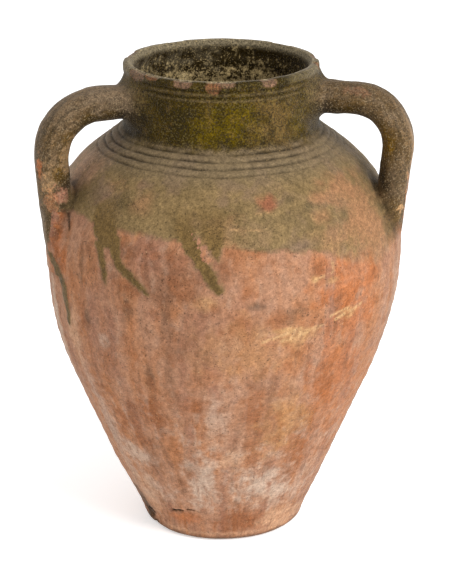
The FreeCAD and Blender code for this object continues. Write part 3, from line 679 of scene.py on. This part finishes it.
# A painted highlight along the lip's crest, where its top meets the bevel
crest = bell(np.arange(len(profile)) - first_row["bore"] + 1, 2.6)[:, None]
glaze_tint = washed(glaze_tint, (LIP_PALE, 0.8 * crest, -0.7, 0.2, spots + 0.3 * blotch))
DEEP = 30.0           # a cover that leaves no clay in sight
cover = np.clip(np.where(outside, cover, DEEP), -DEEP, DEEP)
chipped = np.max([patch_share(number, *chip[:4], 0.3) for number, chip in enumerate(LIP_CHIPS)], axis=0)

# Relief, in millimetres along the surface's own direction
RIPPLE_STEP = 11.5
RIPPLE_DEPTH = 0.16
STREAK_DEPTH = 0.12
COMB_DEPTH = 1.3
COMB_RISE = 0.5
CORD_DEPTH = 1.0
DRIP_RISE = 0.5
LIP_CHIP_DEPTH = 1.2
CRACK_DEPTH = 1.4
FOOT_CHIP_DEPTH = 2.6
FOOT_DENT_DEPTH = 3.4
BELLY_LEAN = 2.4
INNER_RING_STEP = 14
INNER_RING_DEPTH = 0.8
INNER_LUMP = 0.8
ripple = np.sin(2 * math.pi * (HEIGHT / RIPPLE_STEP + 0.6 * cloud(PLACE, 90, 13, 2)))
drip_bulge = smooth(-2, 2.5, dripped) * smooth(-2, 6, 2 - poured)
foot_chip = FOOT_CHIP_DEPTH * patch_share(2, -55, 14, 11, 12) * smooth(30, 4, HEIGHT)
foot_dent = FOOT_DENT_DEPTH * smooth(75, 20, HEIGHT) * bell(turn_between(AZIMUTH, -82), 36)
leaning = BELLY_LEAN * bell(HEIGHT - 250, 50) * np.sin(np.radians(AZIMUTH))
relief_out = (0.8 * cloud(PLACE, 110, 14, 2) + 0.35 * cloud(PLACE, 30, 15, 3) + 0.1 * spots + leaning
              + RIPPLE_DEPTH * ripple * smooth(360, 330, HEIGHT)
              + STREAK_DEPTH * streak_thin * smooth(330, 250, HEIGHT)
              - COMB_DEPTH * comb_groove + COMB_RISE * comb_ridge - CORD_DEPTH * cord_groove
              + DRIP_RISE * drip_bulge - LIP_CHIP_DEPTH * chipped - CRACK_DEPTH * crack
              - foot_chip - foot_dent)
ring_marks = np.sin(2 * math.pi * (HEIGHT / INNER_RING_STEP + 0.4 * cloud(PLACE, 90, 16, 2)))
relief_in = INNER_RING_DEPTH * ring_marks + INNER_LUMP * cloud(PLACE, 50, 17)
relief_in = relief_in * smooth(LIP_TOP - 2, LIP_TOP - 20, HEIGHT)
relief = np.where(outside, relief_out, relief_in)
under = profile[:, 1] < 0.6
relief[under] = -np.abs(relief[under]) * 0.5
surface_radius = RADIUS + relief * profile_out[:, 0][:, None]
surface_height = np.maximum(HEIGHT + relief * profile_out[:, 1][:, None], 0)
surface_radius[[0, -1]] = 0
surface_height[0] = surface_height[0].mean()
surface_height[-1] = surface_height[-1].mean()
SURFACE = turned(surface_radius, surface_height)

# How thickly pale and dark flecks lie, and how much the clay is streaked
on_neck = smooth(NECK_FOOT - 5, NECK_FOOT + 3, HEIGHT)
outer_marks = (0.25 + 0.5 * on_neck + 0.3 * blotch, 0.4 + 0.5 * on_neck + 0.2 * broad,
               smooth(340, 270, HEIGHT))
inner_marks = (0.55 + 0.5 * crust + 0.3 * blotch, 0.8, 0.0)
marks = np.stack([np.where(outside, outer, inner) for outer, inner in zip(outer_marks, inner_marks)], axis=-1)
fleck_tint = mix(plain(FLECK_CLAY), FLECK_GLAZE, smooth(-3, 3, cover))
fleck_tint = mix(fleck_tint, FLECK_NECK, on_neck)
fleck_tint = np.where(outside[..., None], fleck_tint, INSIDE_PALE)
LAYERS = {"clay_tint": clay_tint, "glaze_tint": glaze_tint, "cover": cover,
          "fade": np.broadcast_to(fade, AZIMUTH.shape), "marks": marks, "fleck_tint": fleck_tint}


def grid_normals(points):
    """Normals of a grid of points that closes on itself along its columns."""
    along = np.gradient(points, axis=0)
    across = np.roll(points, -1, axis=1) - np.roll(points, 1, axis=1)
    normals = np.cross(across, along)
    length = np.linalg.norm(normals, axis=-1, keepdims=True)
    return normals / np.maximum(length, 1e-9)


NORMALS = grid_normals(SURFACE)
NORMALS[0], NORMALS[-1] = (0, 0, -1), (0, 0, 1)


# Meshes

SCALAR_LAYERS = ("cover", "fade")
UPWARD = np.broadcast_to((0.0, 0.0, 1.0), (COLUMNS, 3))


def dress(mesh, normals, layers):
    """Smooth shading, normals and paint layers for a mesh."""
    mesh.polygons.foreach_set("use_smooth", np.ones(len(mesh.polygons), bool))
    for name, values in layers.items():
        if name in SCALAR_LAYERS:
            layer = mesh.attributes.new(name, "FLOAT", "POINT")
            layer.data.foreach_set("value", values.astype(np.float32).ravel())
        else:
            layer = mesh.attributes.new(name, "FLOAT_COLOR", "POINT")
            colours = np.ones((len(mesh.vertices), 4), np.float32)
            colours[:, :3] = values.reshape(-1, 3)
            layer.data.foreach_set("color", colours.ravel())
    mesh.normals_split_custom_set_from_vertices(normals)


def ring_faces(rows, columns, closed):
    """Quads between rows of a grid whose columns close on themselves."""
    row = np.arange(rows if closed else rows - 1)[:, None]
    column = np.arange(columns)[None, :]
    this_row = row * columns
    next_row = (row + 1) % rows * columns
    following = (column + 1) % columns
    quads = (this_row + column, this_row + following, next_row + following, next_row + column)
    return np.stack(quads, axis=-1).reshape(-1, 4).tolist()


def put(name, data):
    """A new object in the scene."""
    thing = bpy.data.objects.new(name, data)
    bpy.context.scene.collection.objects.link(thing)
    return thing


def add_piece(name, points, faces, normals, layers, nodes):
    """Puts a mesh in the scene as a piece that stands for CAD nodes."""
    mesh = bpy.data.meshes.new(name)
    mesh.from_pydata((points * MM).reshape(-1, 3).tolist(), [], faces)
    mesh.validate()
    dress(mesh, normals.reshape(-1, 3), layers)
    mesh.materials.append(pottery)
    piece = put(name, mesh)
    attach(piece, "root")
    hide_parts(*nodes)


def seam_row(radius, height):
    """One row of hidden seam points inside the wall."""
    return turned(np.full((1, COLUMNS), radius), np.full((1, COLUMNS), height))[0]


def layer_rows(rows):
    """Paint layers of some rows of the jar's grid, with -1 for a hidden row."""
    return {name: values[np.maximum(rows, 0)] for name, values in LAYERS.items()}


def add_ring(name, outer, inner, lower_seam, upper_seam):
    """A thrown ring: its outside, the seam above, its inside, and the seam below."""
    rows = []
    grid = []
    for part, seam in ((outer, upper_seam), (inner, lower_seam)):
        rows += part
        grid += [SURFACE[row] for row in part]
        if seam is not None:
            rows.append(-1)
            grid.append(seam_row(*seam))
    normals = [UPWARD if row < 0 else NORMALS[row] for row in rows]
    faces = ring_faces(len(rows), COLUMNS, closed=True)
    add_piece(name, np.array(grid), faces, np.array(normals), layer_rows(np.array(rows)), [name])


def add_base():
    """The base slab: a closed disc with a pole above and below."""
    rows = [*range(1, first_row["lower"] + 1), -1, *range(first_row["floor"], len(profile) - 1)]
    grid = [seam_row(*SLAB_SEAM) if row < 0 else SURFACE[row] for row in rows]
    normals = [UPWARD if row < 0 else NORMALS[row] for row in rows]
    points = np.concatenate((*grid, SURFACE[0][:1], SURFACE[-1][:1]))
    all_normals = np.concatenate((*normals, NORMALS[0][:1], NORMALS[-1][:1]))
    faces = ring_faces(len(grid), COLUMNS, closed=False)
    low_pole, high_pole = len(points) - 2, len(points) - 1
    last = (len(grid) - 1) * COLUMNS
    for column in range(COLUMNS):
        following = (column + 1) % COLUMNS
        faces.append((low_pole, following, column))
        faces.append((high_pole, last + column, last + following))
    layers = {}
    for name, values in layer_rows(np.array(rows)).items():
        poles = LAYERS[name][[0, -1], 0]
        layers[name] = np.concatenate((values.reshape(-1, *values.shape[2:]), poles))
    add_piece("base_slab", points, faces, all_normals, layers, ["base_slab"])


# Materials

CLAY_ROUGHNESS = 0.93
GLAZE_ROUGHNESS = (0.46, 0.66)
SPECULAR = 0.05
SHEEN = 0.2
SHEEN_TINT = (1.0, 0.88, 0.76, 1.0)
SHEEN_ROUGHNESS = 0.28
RIM_TINT = (0.07, 0.05, 0.03, 1.0)
DARK_SPECK_TINT = (0.022, 0.016, 0.010, 1.0)
BUMP_STRENGTH = 0.7
BUMP_DEPTH = 0.0009
STREAK_DRAW = (1.0, 1.0, 0.07)
PAPER_TONES = (0.93, 0.96)
PAPER_GRAIN = 60.0
PAPER_ROUGHNESS = 0.95
PAPER_SPECULAR = 0.1
PAPER_GLOW = 0.42
WHITE = (1.0, 1.0, 1.0, 1.0)


def set_inputs(node, values):
    """Sets a node's inputs to numbers and colours."""
    for name, value in values.items():
        node.inputs[name].default_value = value


def node_maker(material):
    """Function that adds a shader node to a material, with its inputs set to numbers or linked to sockets."""
    tree = material.node_tree

    def make(kind, output=0, settings=(), **inputs):
        node = tree.nodes.new("ShaderNode" + kind)
        for name, setting in dict(settings).items():
            setattr(node, name, setting)
        for name, given in inputs.items():
            numbered = name[0] == "i" and name[1:].isdigit()
            socket = node.inputs[int(name[1:]) if numbered else name.replace("_", " ")]
            if isinstance(given, bpy.types.NodeSocket):
                tree.links.new(given, socket)
            else:
                socket.default_value = given
        return node.outputs[output]

    return make


def earthenware():
    """Weathered clay and worn glaze. The paint layers say where each lies and in what tint."""
    material = bpy.data.materials.new("weathered_earthenware")
    material.use_nodes = True
    tree = material.node_tree
    shader = tree.nodes["Principled BSDF"]
    make = node_maker(material)

    def layer(name, output="Color"):
        return make("Attribute", output, {"attribute_name": name})

    def math_node(operation, first, second, clamp=False):
        return make("Math", 0, {"operation": operation, "use_clamp": clamp}, i0=first, i1=second)

    def times(first, second, clamp=False):
        return math_node("MULTIPLY", first, second, clamp)

    def plus(first, second, clamp=False):
        return math_node("ADD", first, second, clamp)

    def minus(first, second):
        return math_node("SUBTRACT", first, second)

    def span(value, low, high, to_low, to_high):
        return make("MapRange", Value=value, From_Min=low, From_Max=high, To_Min=to_low, To_Max=to_high)

    def blend(share, first, second, kind="MIX"):
        return make("Mix", 2, {"data_type": "RGBA", "blend_type": kind}, i0=share, i6=first, i7=second)

    def noise(scale, detail, vector, rough=0.6):
        return make("TexNoise", Vector=vector, Scale=scale, Detail=detail, Roughness=rough)

    def specks(scale, density):
        field = noise(scale, 2.0, place, 0.5)
        return times(minus(field, span(density, 0.0, 1.0, 0.74, 0.52)), 22.0, clamp=True)

    # Coordinates for streaks: the way round the jar on one radius, and the height drawn out
    place = make("TexCoord", "Object")
    parts = make("SeparateXYZ", Vector=place).node.outputs
    flat = make("CombineXYZ", X=parts[0], Y=parts[1], Z=0.0)
    around = make("VectorMath", 0, {"operation": "NORMALIZE"}, i0=flat)
    raised = make("CombineXYZ", X=0.0, Y=0.0, Z=parts[2])
    on_radius = (STREAK_RADIUS * MM,) * 3
    upright = make("VectorMath", 0, {"operation": "MULTIPLY_ADD"}, i0=around, i1=on_radius, i2=raised)
    drawn = make("VectorMath", 0, {"operation": "MULTIPLY"}, i0=upright, i1=STREAK_DRAW)

    pale_share, dark_share, streak_share = make("SeparateColor", Color=layer("marks")).node.outputs
    grain = noise(680.0, 3.0, place, 0.7)
    mottle = noise(260.0, 4.0, place)
    patchy = noise(85.0, 4.0, place)
    streak = noise(330.0, 3.0, drawn)

    # Where the glaze lies, with a ragged edge
    distance = plus(layer("cover", "Fac"), times(minus(mottle, 0.5), 7.0))
    soft = math_node("DIVIDE", distance, times(layer("fade", "Fac"), 2.0))
    glazed = plus(soft, 0.5, clamp=True)
    rim = times(span(distance, -2.0, 0.0, 0.0, 1.0), span(distance, 0.0, 2.5, 1.0, 0.0))

    # Both tints with their grain, then flecks over them
    streaked = times(minus(streak, 0.5), streak_share)
    clay_light = plus(span(mottle, 0.25, 0.75, 0.80, 1.20), times(streaked, 0.22))
    clay_light = times(clay_light, span(grain, 0.25, 0.75, 0.68, 1.32))
    clay = blend(1.0, layer("clay_tint"), clay_light, "MULTIPLY")
    grit = times(minus(grain, 0.5), span(dark_share, 0.4, 0.9, 1.7, 3.8))
    glaze_light = times(span(mottle, 0.25, 0.75, 0.70, 1.30), plus(grit, 1.0))
    glaze = blend(1.0, layer("glaze_tint"), glaze_light, "MULTIPLY")
    colour = blend(glazed, clay, glaze)
    colour = blend(times(rim, 0.15), colour, RIM_TINT)
    dark = specks(600.0, dark_share)
    colour = blend(times(specks(660.0, pale_share), 0.6), colour, layer("fleck_tint"))
    colour = blend(times(dark, 0.55), colour, DARK_SPECK_TINT)

    height = plus(times(grain, 0.35), times(mottle, 0.8))
    height = plus(height, times(glazed, 0.35))
    height = minus(height, times(dark, 0.5))
    height = plus(height, times(streaked, 0.3))
    bump = make("Bump", Strength=BUMP_STRENGTH, Distance=BUMP_DEPTH, Height=height)
    glaze_rough = span(patchy, 0.3, 0.7, *GLAZE_ROUGHNESS)
    roughness = make("Mix", 0, {"data_type": "FLOAT"}, i0=glazed, i2=CLAY_ROUGHNESS, i3=glaze_rough)

    for socket, source in (("Base Color", colour), ("Roughness", roughness), ("Normal", bump)):
        tree.links.new(source, shader.inputs[socket])
    set_inputs(shader, {"Specular IOR Level": SPECULAR, "Sheen Weight": SHEEN, "Sheen Tint": SHEEN_TINT,
                        "Sheen Roughness": SHEEN_ROUGHNESS})
    return material


def plain_floor():
    """Pale matte studio paper with a faint grain."""
    material = bpy.data.materials.new("studio_paper")
    material.use_nodes = True
    shader = material.node_tree.nodes["Principled BSDF"]
    make = node_maker(material)
    grain = make("TexNoise", Scale=PAPER_GRAIN, Detail=3.0)
    tone = make("MapRange", Value=grain, To_Min=PAPER_TONES[0], To_Max=PAPER_TONES[1])
    material.node_tree.links.new(tone, shader.inputs["Base Color"])
    set_inputs(shader, {"Roughness": PAPER_ROUGHNESS, "Specular IOR Level": PAPER_SPECULAR,
                        "Emission Color": WHITE, "Emission Strength": PAPER_GLOW})
    return material


pottery = earthenware()


# The thrown pieces, which meet in seams hidden in the wall

def rows_of(section, last=None):
    """Rows from one section to the end of another, with the first row of the next."""
    names = list(SECTIONS)
    end = names[names.index(last or section) + 1]
    return list(range(first_row[section], first_row[end] + 1))


SLAB_SEAM = (FOOT_RADIUS - WALL / 2, SLAB_TOP - TONGUE)
CONE_SEAM = (SEAM_RADIUS - WALL / 2, LOWER_SEAM - TONGUE)
BELLY_SEAM = (BELLY_RADIUS - WALL / 2, BELLY - TONGUE)
add_base()
add_ring("lower_wall", rows_of("lower"), rows_of("inner_lower"), SLAB_SEAM, CONE_SEAM)
add_ring("belly_wall", rows_of("belly"), rows_of("inner_belly"), CONE_SEAM, BELLY_SEAM)
add_ring("shoulder_wall", rows_of("shoulder"), rows_of("inner_shoulder"), BELLY_SEAM, None)
add_ring("neck_collar", rows_of("neck", "bore"), [], None, None)


# Coils of soft clay pressed into the seams from inside

COIL_LEG = 15.0
COIL_HALF = 13.0
COIL_BURIED = 1.5
FLOOR_COIL_ARCH = -3.0
SEAM_COIL_ARCH = 3.5
COIL_MARKS = (0.75, 0.6, 0.0)


def add_coil(name, corners, rise):
    """A ring of soft clay against the inside of a seam, with the marks of fingers on its face."""
    corners = np.array(corners, float)
    face = np.concatenate((line(corners[0], corners[1], 2.0), corners[1:2]))
    share = np.linspace(0, 1, len(face))
    arch = 4 * share * (1 - share)
    chord = corners[1] - corners[0]
    face_out = unit(np.array((-chord[1], chord[0])))
    face = face + face_out * (rise * arch)[:, None]
    loop = np.concatenate((face, line(corners[1], corners[2], 3)[1:], line(corners[2], corners[0], 3)))
    visible = np.zeros(len(loop))
    visible[:len(face)] = arch
    radius = np.repeat(loop[:, :1], COLUMNS, axis=1)
    height = np.repeat(loop[:, 1:], COLUMNS, axis=1)
    points = turned(radius, height)
    pressed = (1.1 * cloud(points, 24, 50) + 0.5 * cloud(points, 8, 51)) * visible[:, None]
    points = turned(radius + pressed * face_out[0], height + pressed * face_out[1])
    tint = washed(plain(INSIDE_DARK, points), (INSIDE_PALE, 0.8, 0, 0.7, cloud(points, 13, 12)))
    layers = {"clay_tint": tint, "glaze_tint": tint, "cover": np.full(radius.shape, DEEP),
              "fade": np.ones(radius.shape), "marks": plain(COIL_MARKS, points),
              "fleck_tint": plain(INSIDE_PALE, points)}
    normals = grid_normals(np.concatenate((points[-1:], points, points[:1])))[1:-1]
    faces = ring_faces(len(loop), COLUMNS, closed=True)
    add_piece(name, points, faces, normals, layers, [name])


def on_inside(height):
    """Point of the jar's inside at a height."""
    rows = np.arange(first_row["inner_shoulder"], first_row["floor"])[::-1]
    return np.array((np.interp(height, profile[rows, 1], profile[rows, 0]), height))


INNER_FOOT = FOOT_RADIUS - WALL
add_coil("floor_seam_coil", [on_inside(SLAB_TOP + COIL_LEG), (INNER_FOOT - COIL_LEG, SLAB_TOP),
                             (INNER_FOOT + COIL_BURIED, SLAB_TOP - COIL_BURIED)], FLOOR_COIL_ARCH)
for coil, seam in (("lower_seam_coil", LOWER_SEAM), ("belly_seam_coil", BELLY)):
    add_coil(coil, [on_inside(seam + COIL_HALF), on_inside(seam - COIL_HALF),
                    on_inside(seam) + (COIL_BURIED, 0)], SEAM_COIL_ARCH)


# Handles, with the soft clay that is smeared round their ends

AROUND = 84
BURIED = 4.0
NECK_FACE = 82.0      # where lengths along a handle start
OVAL_POWER = 2.25     # 2 is an ellipse, and more is squarer
FLARE_ROUNDS = 60
# Bend of a handle into the wall, on its faces and its flanks, and what the roots add to it
FACE_BEND = 3.0
FACE_BEND_UPPER = 6.0
FLANK_BEND = 3.5
FLANK_BEND_UPPER = 15.0
FLANK_BEND_LOWER = 7.0
HANDLE_MARKS = (0.72, 0.62, 0.0)
wall_rows = np.flatnonzero(outside_rows & (profile[:, 1] > 1) & (profile[:, 1] < LIP_TOP - 2))
bar_turn = np.arange(AROUND) * 2 * math.pi / AROUND
cosine, sine = np.cos(bar_turn), np.sin(bar_turn)


def on_grid(points):
    """Row, as a fraction, and column of the jar's outside nearest to points."""
    rows = np.interp(points[..., 2], profile[wall_rows, 1], wall_rows)
    seen = np.degrees(np.arctan2(points[..., 0], -points[..., 1])) + PHOTO_TURN
    return rows, np.round((seen + 180) / 360 * COLUMNS).astype(int) % COLUMNS


def wall_gap(points):
    """Signed distance from the jar's outside, the jar's radius there, and how far its wall faces sideways."""
    rows, columns = on_grid(points)
    low = np.floor(rows).astype(int)
    share = rows - low
    high = np.minimum(low + 1, wall_rows[-1])
    out = relief[low, columns] * (1 - share) + relief[high, columns] * share
    sideways = np.maximum(np.interp(points[..., 2], profile[wall_rows, 1], profile_out[wall_rows, 0]), 0.35)
    radius = np.interp(points[..., 2], profile[wall_rows, 1], profile[wall_rows, 0]) + out / sideways
    return (np.hypot(points[..., 0], points[..., 1]) - radius) * sideways, radius, sideways


def oval_rays(side, path, thick, wide):
    """Directions and lengths from a handle's line to an oval round it."""
    heading = unit(np.gradient(path, axis=0))
    outward = in_space(side, np.column_stack((-heading[:, 1], heading[:, 0])))
    angle = math.radians(side * HANDLE_SWING)
    sideways = side * np.array((math.cos(angle), math.sin(angle), 0))
    swell = (np.abs(cosine) ** OVAL_POWER + np.abs(sine) ** OVAL_POWER) ** (-1 / OVAL_POWER)
    oval_out = (thick / 2 * cosine * swell)[None, :, None]
    oval_side = (wide / 2 * sine * swell)[None, :, None]
    ray = outward[:, None, :] * oval_out + sideways * oval_side
    reach = np.linalg.norm(ray, axis=-1)
    return ray / reach[..., None], reach


def flared(middle, ray, body, along):
    """Points of a bar whose roots widen towards the wall, and whose buried ends stop just inside it."""
    upper_root = smooth(60, 20, along)
    lower_root = smooth(312, 300, middle[..., 2]) * (1 - upper_root)
    flank = sine ** 2
    face_bend = FACE_BEND + FACE_BEND_UPPER * upper_root
    flank_bend = FLANK_BEND + FLANK_BEND_UPPER * upper_root + FLANK_BEND_LOWER * lower_root
    root_bend = face_bend * (1 - flank) + flank_bend * flank
    length = body
    for _ in range(FLARE_ROUNDS):
        gap = wall_gap(middle + ray * length[..., None])[0]
        fillet = root_bend * np.clip(1 - gap / root_bend, 0, 1) ** 2
        length = 0.6 * length + 0.4 * (body + fillet)
    points = middle + ray * length[..., None]
    gap, wall_radius, facing = wall_gap(points)
    flat = np.hypot(points[..., 0], points[..., 1])
    pull = np.where(gap < -BURIED, (wall_radius - BURIED / facing) / np.maximum(flat, 1e-6), 1)
    points[..., :2] *= pull[..., None]
    return points


def handle_coats(points, normals, along, pulled, fine_pulled, glaze_end, outer_run, scuffs, seed):
    """A handle's paint: pulled brown glaze with worn places, ending in bare clay near the foot."""
    spot = cloud(points, 9, 6, 3)
    fleck = cloud(points, 3.6, 18, 2)
    blot = cloud(points, 26, 66 + seed)
    inner = smooth(0.25, -0.7, cosine + 0.35 * blot)
    outer = smooth(0.1, 0.9, cosine + 0.5 * pulled + 0.3 * spot)
    # Painted highlight: the more the handle faces up, the paler it is painted
    top_highlight = smooth(-0.2, 0.9, normals[..., 2])
    on_leg = smooth(60, 95, along)
    # Painted shade on the handle's inner side where it nears the wall, under each root
    shade_under_root = smooth(34, 8, wall_gap(points)[0])
    brown = washed(
        plain(HANDLE_BROWN, points),
        (HANDLE_PALE, 0.45, -0.4, 0.9, blot + 0.3 * spot),
        (HANDLE_GOLD, 0.6 * (1 - top_highlight), 0.0, 0.8, -blot + 0.5 * pulled))
    # A painted highlight along the handle's top
    brown = mix(brown, HANDLE_PALE, 0.6 * top_highlight)
    # Painted shade on the inner side of the upper bar, which faces down
    brown = mix(brown, OLIVE_BLACK, 0.6 * (1 - on_leg) * inner)
    brown = mix(brown, HANDLE_GOLD, 0.7 * on_leg * inner)
    brown = washed(
        brown,
        (OLIVE_BLACK, 0.45, 0.0, 0.7, fine_pulled + 0.3 * fleck),
        (HANDLE_WHEAT, 0.3 * (1 - inner), 0.2, 0.8, fleck - fine_pulled + 0.3 * outer),
        (STAIN_AND_SHADE, 0.95 * shade_under_root, 0.4, -0.4, cosine + 0.3 * spot))
    for middle_along, middle_turn, half_along, half_turn, colour, strength in scuffs:
        across = turn_between(np.degrees(bar_turn), middle_turn) / half_turn
        away = np.hypot((along - middle_along) / half_along, across)
        brown = washed(brown, (colour, strength, -0.3, 0.3, 1 - away + 0.8 * spot + 0.5 * fleck))
    brown = brown * (1 + 0.25 * fleck)[..., None]
    clay = washed(plain(PINK, points), (ORANGE, 1, -0.2, 0.6, spot + 0.6 * pulled))
    clay = clay * (1 + 0.2 * fleck)[..., None]
    end_height = glaze_end + 8 * np.abs(sine) - outer_run * smooth(0.6, 0.9, cosine)
    coat = points[..., 2] - end_height + 7 * cloud(points, 16, 68 + seed)
    coat = np.clip(np.where(along < 60, DEEP, coat), -DEEP, DEEP)
    return {"clay_tint": clay, "glaze_tint": brown, "cover": coat, "fade": np.full(coat.shape, 1.5),
            "marks": plain(HANDLE_MARKS, points), "fleck_tint": plain(FLECK_HANDLE, points)}


def with_wall(points, normals, coats):
    """A handle's normals and paint, blended into the wall's round the roots."""
    gap = wall_gap(points)[0]
    rows, columns = on_grid(points)
    rows = np.round(rows).astype(int)
    root = smooth(12, 1, gap)
    layers = {}
    for name, values in coats.items():
        share = root if values.ndim == 2 else root[..., None]
        layers[name] = values * (1 - share) + LAYERS[name][rows, columns] * share
    at_wall = smooth(3, 0, gap)[..., None]
    normals = normals * (1 - at_wall) + NORMALS[rows, columns] * at_wall
    return unit(normals), layers


def add_handle(name, side, lift, reach_out, bend, thick, wide, ridges, glaze_end, outer_run, scuffs, seed):
    """One pulled handle: an uneven oval bar on a bent line, with flared roots."""
    path = handle_path(lift, reach_out, bend)
    middle = in_space(side, path)[:, None, :]
    along = lengths_along(path)[:, None] + HANDLE_START - NECK_FACE
    ray, reach = oval_rays(side, path, thick, wide)
    oval = middle + ray * reach[..., None]
    lumps = 0.9 * cloud(oval, 38, 60 + seed, 3) + 0.25 * cloud(oval, 9, 62 + seed, 2)
    drawn = np.stack(np.broadcast_arrays(12 * cosine, 12 * sine, along / 14), axis=-1)
    pulled = cloud(drawn, 7, 64 + seed, 2)
    fine_pulled = cloud(drawn, 2.6, 70 + seed, 3)
    points = flared(middle, ray, reach + lumps + ridges * pulled, along)

    normals = grid_normals(points)
    last = (len(path) - 1) * AROUND
    faces = ring_faces(len(path), AROUND, closed=False)
    faces += [list(range(AROUND))[::-1], list(range(last, last + AROUND))]
    if np.sum(normals * ray, axis=-1).mean() < 0:
        normals = -normals
        faces = [face[::-1] for face in faces]
    coats = handle_coats(points, normals, along, pulled, fine_pulled, glaze_end, outer_run, scuffs, seed)
    normals, layers = with_wall(points, normals, coats)
    add_piece(name, points, faces, normals, layers,
              [name, name.replace("handle", "upper_luting"), name.replace("handle", "lower_luting")])


# Worn places: length along the handle, turn round it (0 outwards, -90 forwards), half-length, half-turn,
# colour and strength
LEFT_SCUFFS = [
    (112, -22, 9, 14, ORANGE, 0.8), (124, -50, 13, 24, HANDLE_WHEAT, 0.8), (128, -45, 7, 14, SCUFF, 0.6),
    (136, -90, 8, 22, PINK, 0.9), (140, -50, 10, 26, TAN, 0.5), (120, 100, 22, 40, TAN, 0.5),
    (98, -125, 16, 30, HANDLE_WHEAT, 0.7), (26, -30, 26, 70, HANDLE_PALE, 0.4),
]
RIGHT_SCUFFS = [
    (44, 0, 40, 70, HANDLE_BROWN, 0.7), (112, -15, 30, 12, HANDLE_WHEAT, 0.7), (112, -5, 14, 8, SCUFF, 0.7),
    (44, -45, 12, 16, PINK, 0.3), (160, -40, 4, 12, SCUFF, 0.9), (144, -10, 22, 14, TAN, 0.7),
    (90, 110, 24, 40, TAN, 0.4), (100, -130, 16, 30, HANDLE_GOLD, 0.6),
]
add_handle("left_handle", *HANDLE_LINES[0], thick=30.0, wide=39, ridges=0.5, glaze_end=318, outer_run=32,
           scuffs=LEFT_SCUFFS, seed=0)
add_handle("right_handle", *HANDLE_LINES[1], thick=28.0, wide=38, ridges=0.9, glaze_end=300, outer_run=0,
           scuffs=RIGHT_SCUFFS, seed=10)


# Studio, in metres: a pale floor, white surroundings, one soft light and the photo's camera

FLOOR_HALF = 8.0
WORLD_STRENGTH = 0.8
JAR_MIDDLE = (0, 0, 0.24)
KEY_PLACE = (1.5, -1.6, 1.8)
KEY_BREADTH = 1.6
KEY_POWER = 58
CAMERA_AWAY = (0.0048, -1.869, 0.893)
CAMERA_PITCH = 19.58
CAMERA_LENS = 133.4
CAMERA_SENSOR = 36


def aim(thing, target):
    """Turns a light to face a point."""
    away = np.array(target) - np.array(thing.location)
    flat = math.hypot(away[0], away[1])
    thing.rotation_euler = (math.atan2(flat, -away[2]), 0, math.atan2(away[1], away[0]) - math.pi / 2)


floor_mesh = bpy.data.meshes.new("floor")
corners = [(x * FLOOR_HALF, y * FLOOR_HALF, 0) for x, y in ((-1, -1), (1, -1), (1, 1), (-1, 1))]
floor_mesh.from_pydata(corners, [], [(0, 1, 2, 3)])
floor_mesh.materials.append(plain_floor())
floor = put("floor", floor_mesh)

world = bpy.data.worlds.new("studio")
world.use_nodes = True
set_inputs(world.node_tree.nodes["Background"], {"Color": WHITE, "Strength": WORLD_STRENGTH})
bpy.context.scene.world = world

light = bpy.data.lights.new("key", "AREA")
light.shape = "DISK"
light.size = KEY_BREADTH
light.energy = KEY_POWER
lamp = put("key", light)
lamp.location = KEY_PLACE
aim(lamp, JAR_MIDDLE)

turn = math.radians(-PHOTO_TURN)
camera_data = bpy.data.cameras.new("camera")
camera_data.lens = CAMERA_LENS
camera_data.sensor_width = CAMERA_SENSOR
camera = put("camera", camera_data)
camera.location = (CAMERA_AWAY[0] * math.cos(turn) - CAMERA_AWAY[1] * math.sin(turn),
                   CAMERA_AWAY[0] * math.sin(turn) + CAMERA_AWAY[1] * math.cos(turn), CAMERA_AWAY[2])
camera.rotation_euler = (math.radians(90 - CAMERA_PITCH), 0, turn)
bpy.context.scene.camera = camera
bpy.context.scene.view_settings.view_transform = "Standard"
bpy.context.scene.view_settings.look = "None"
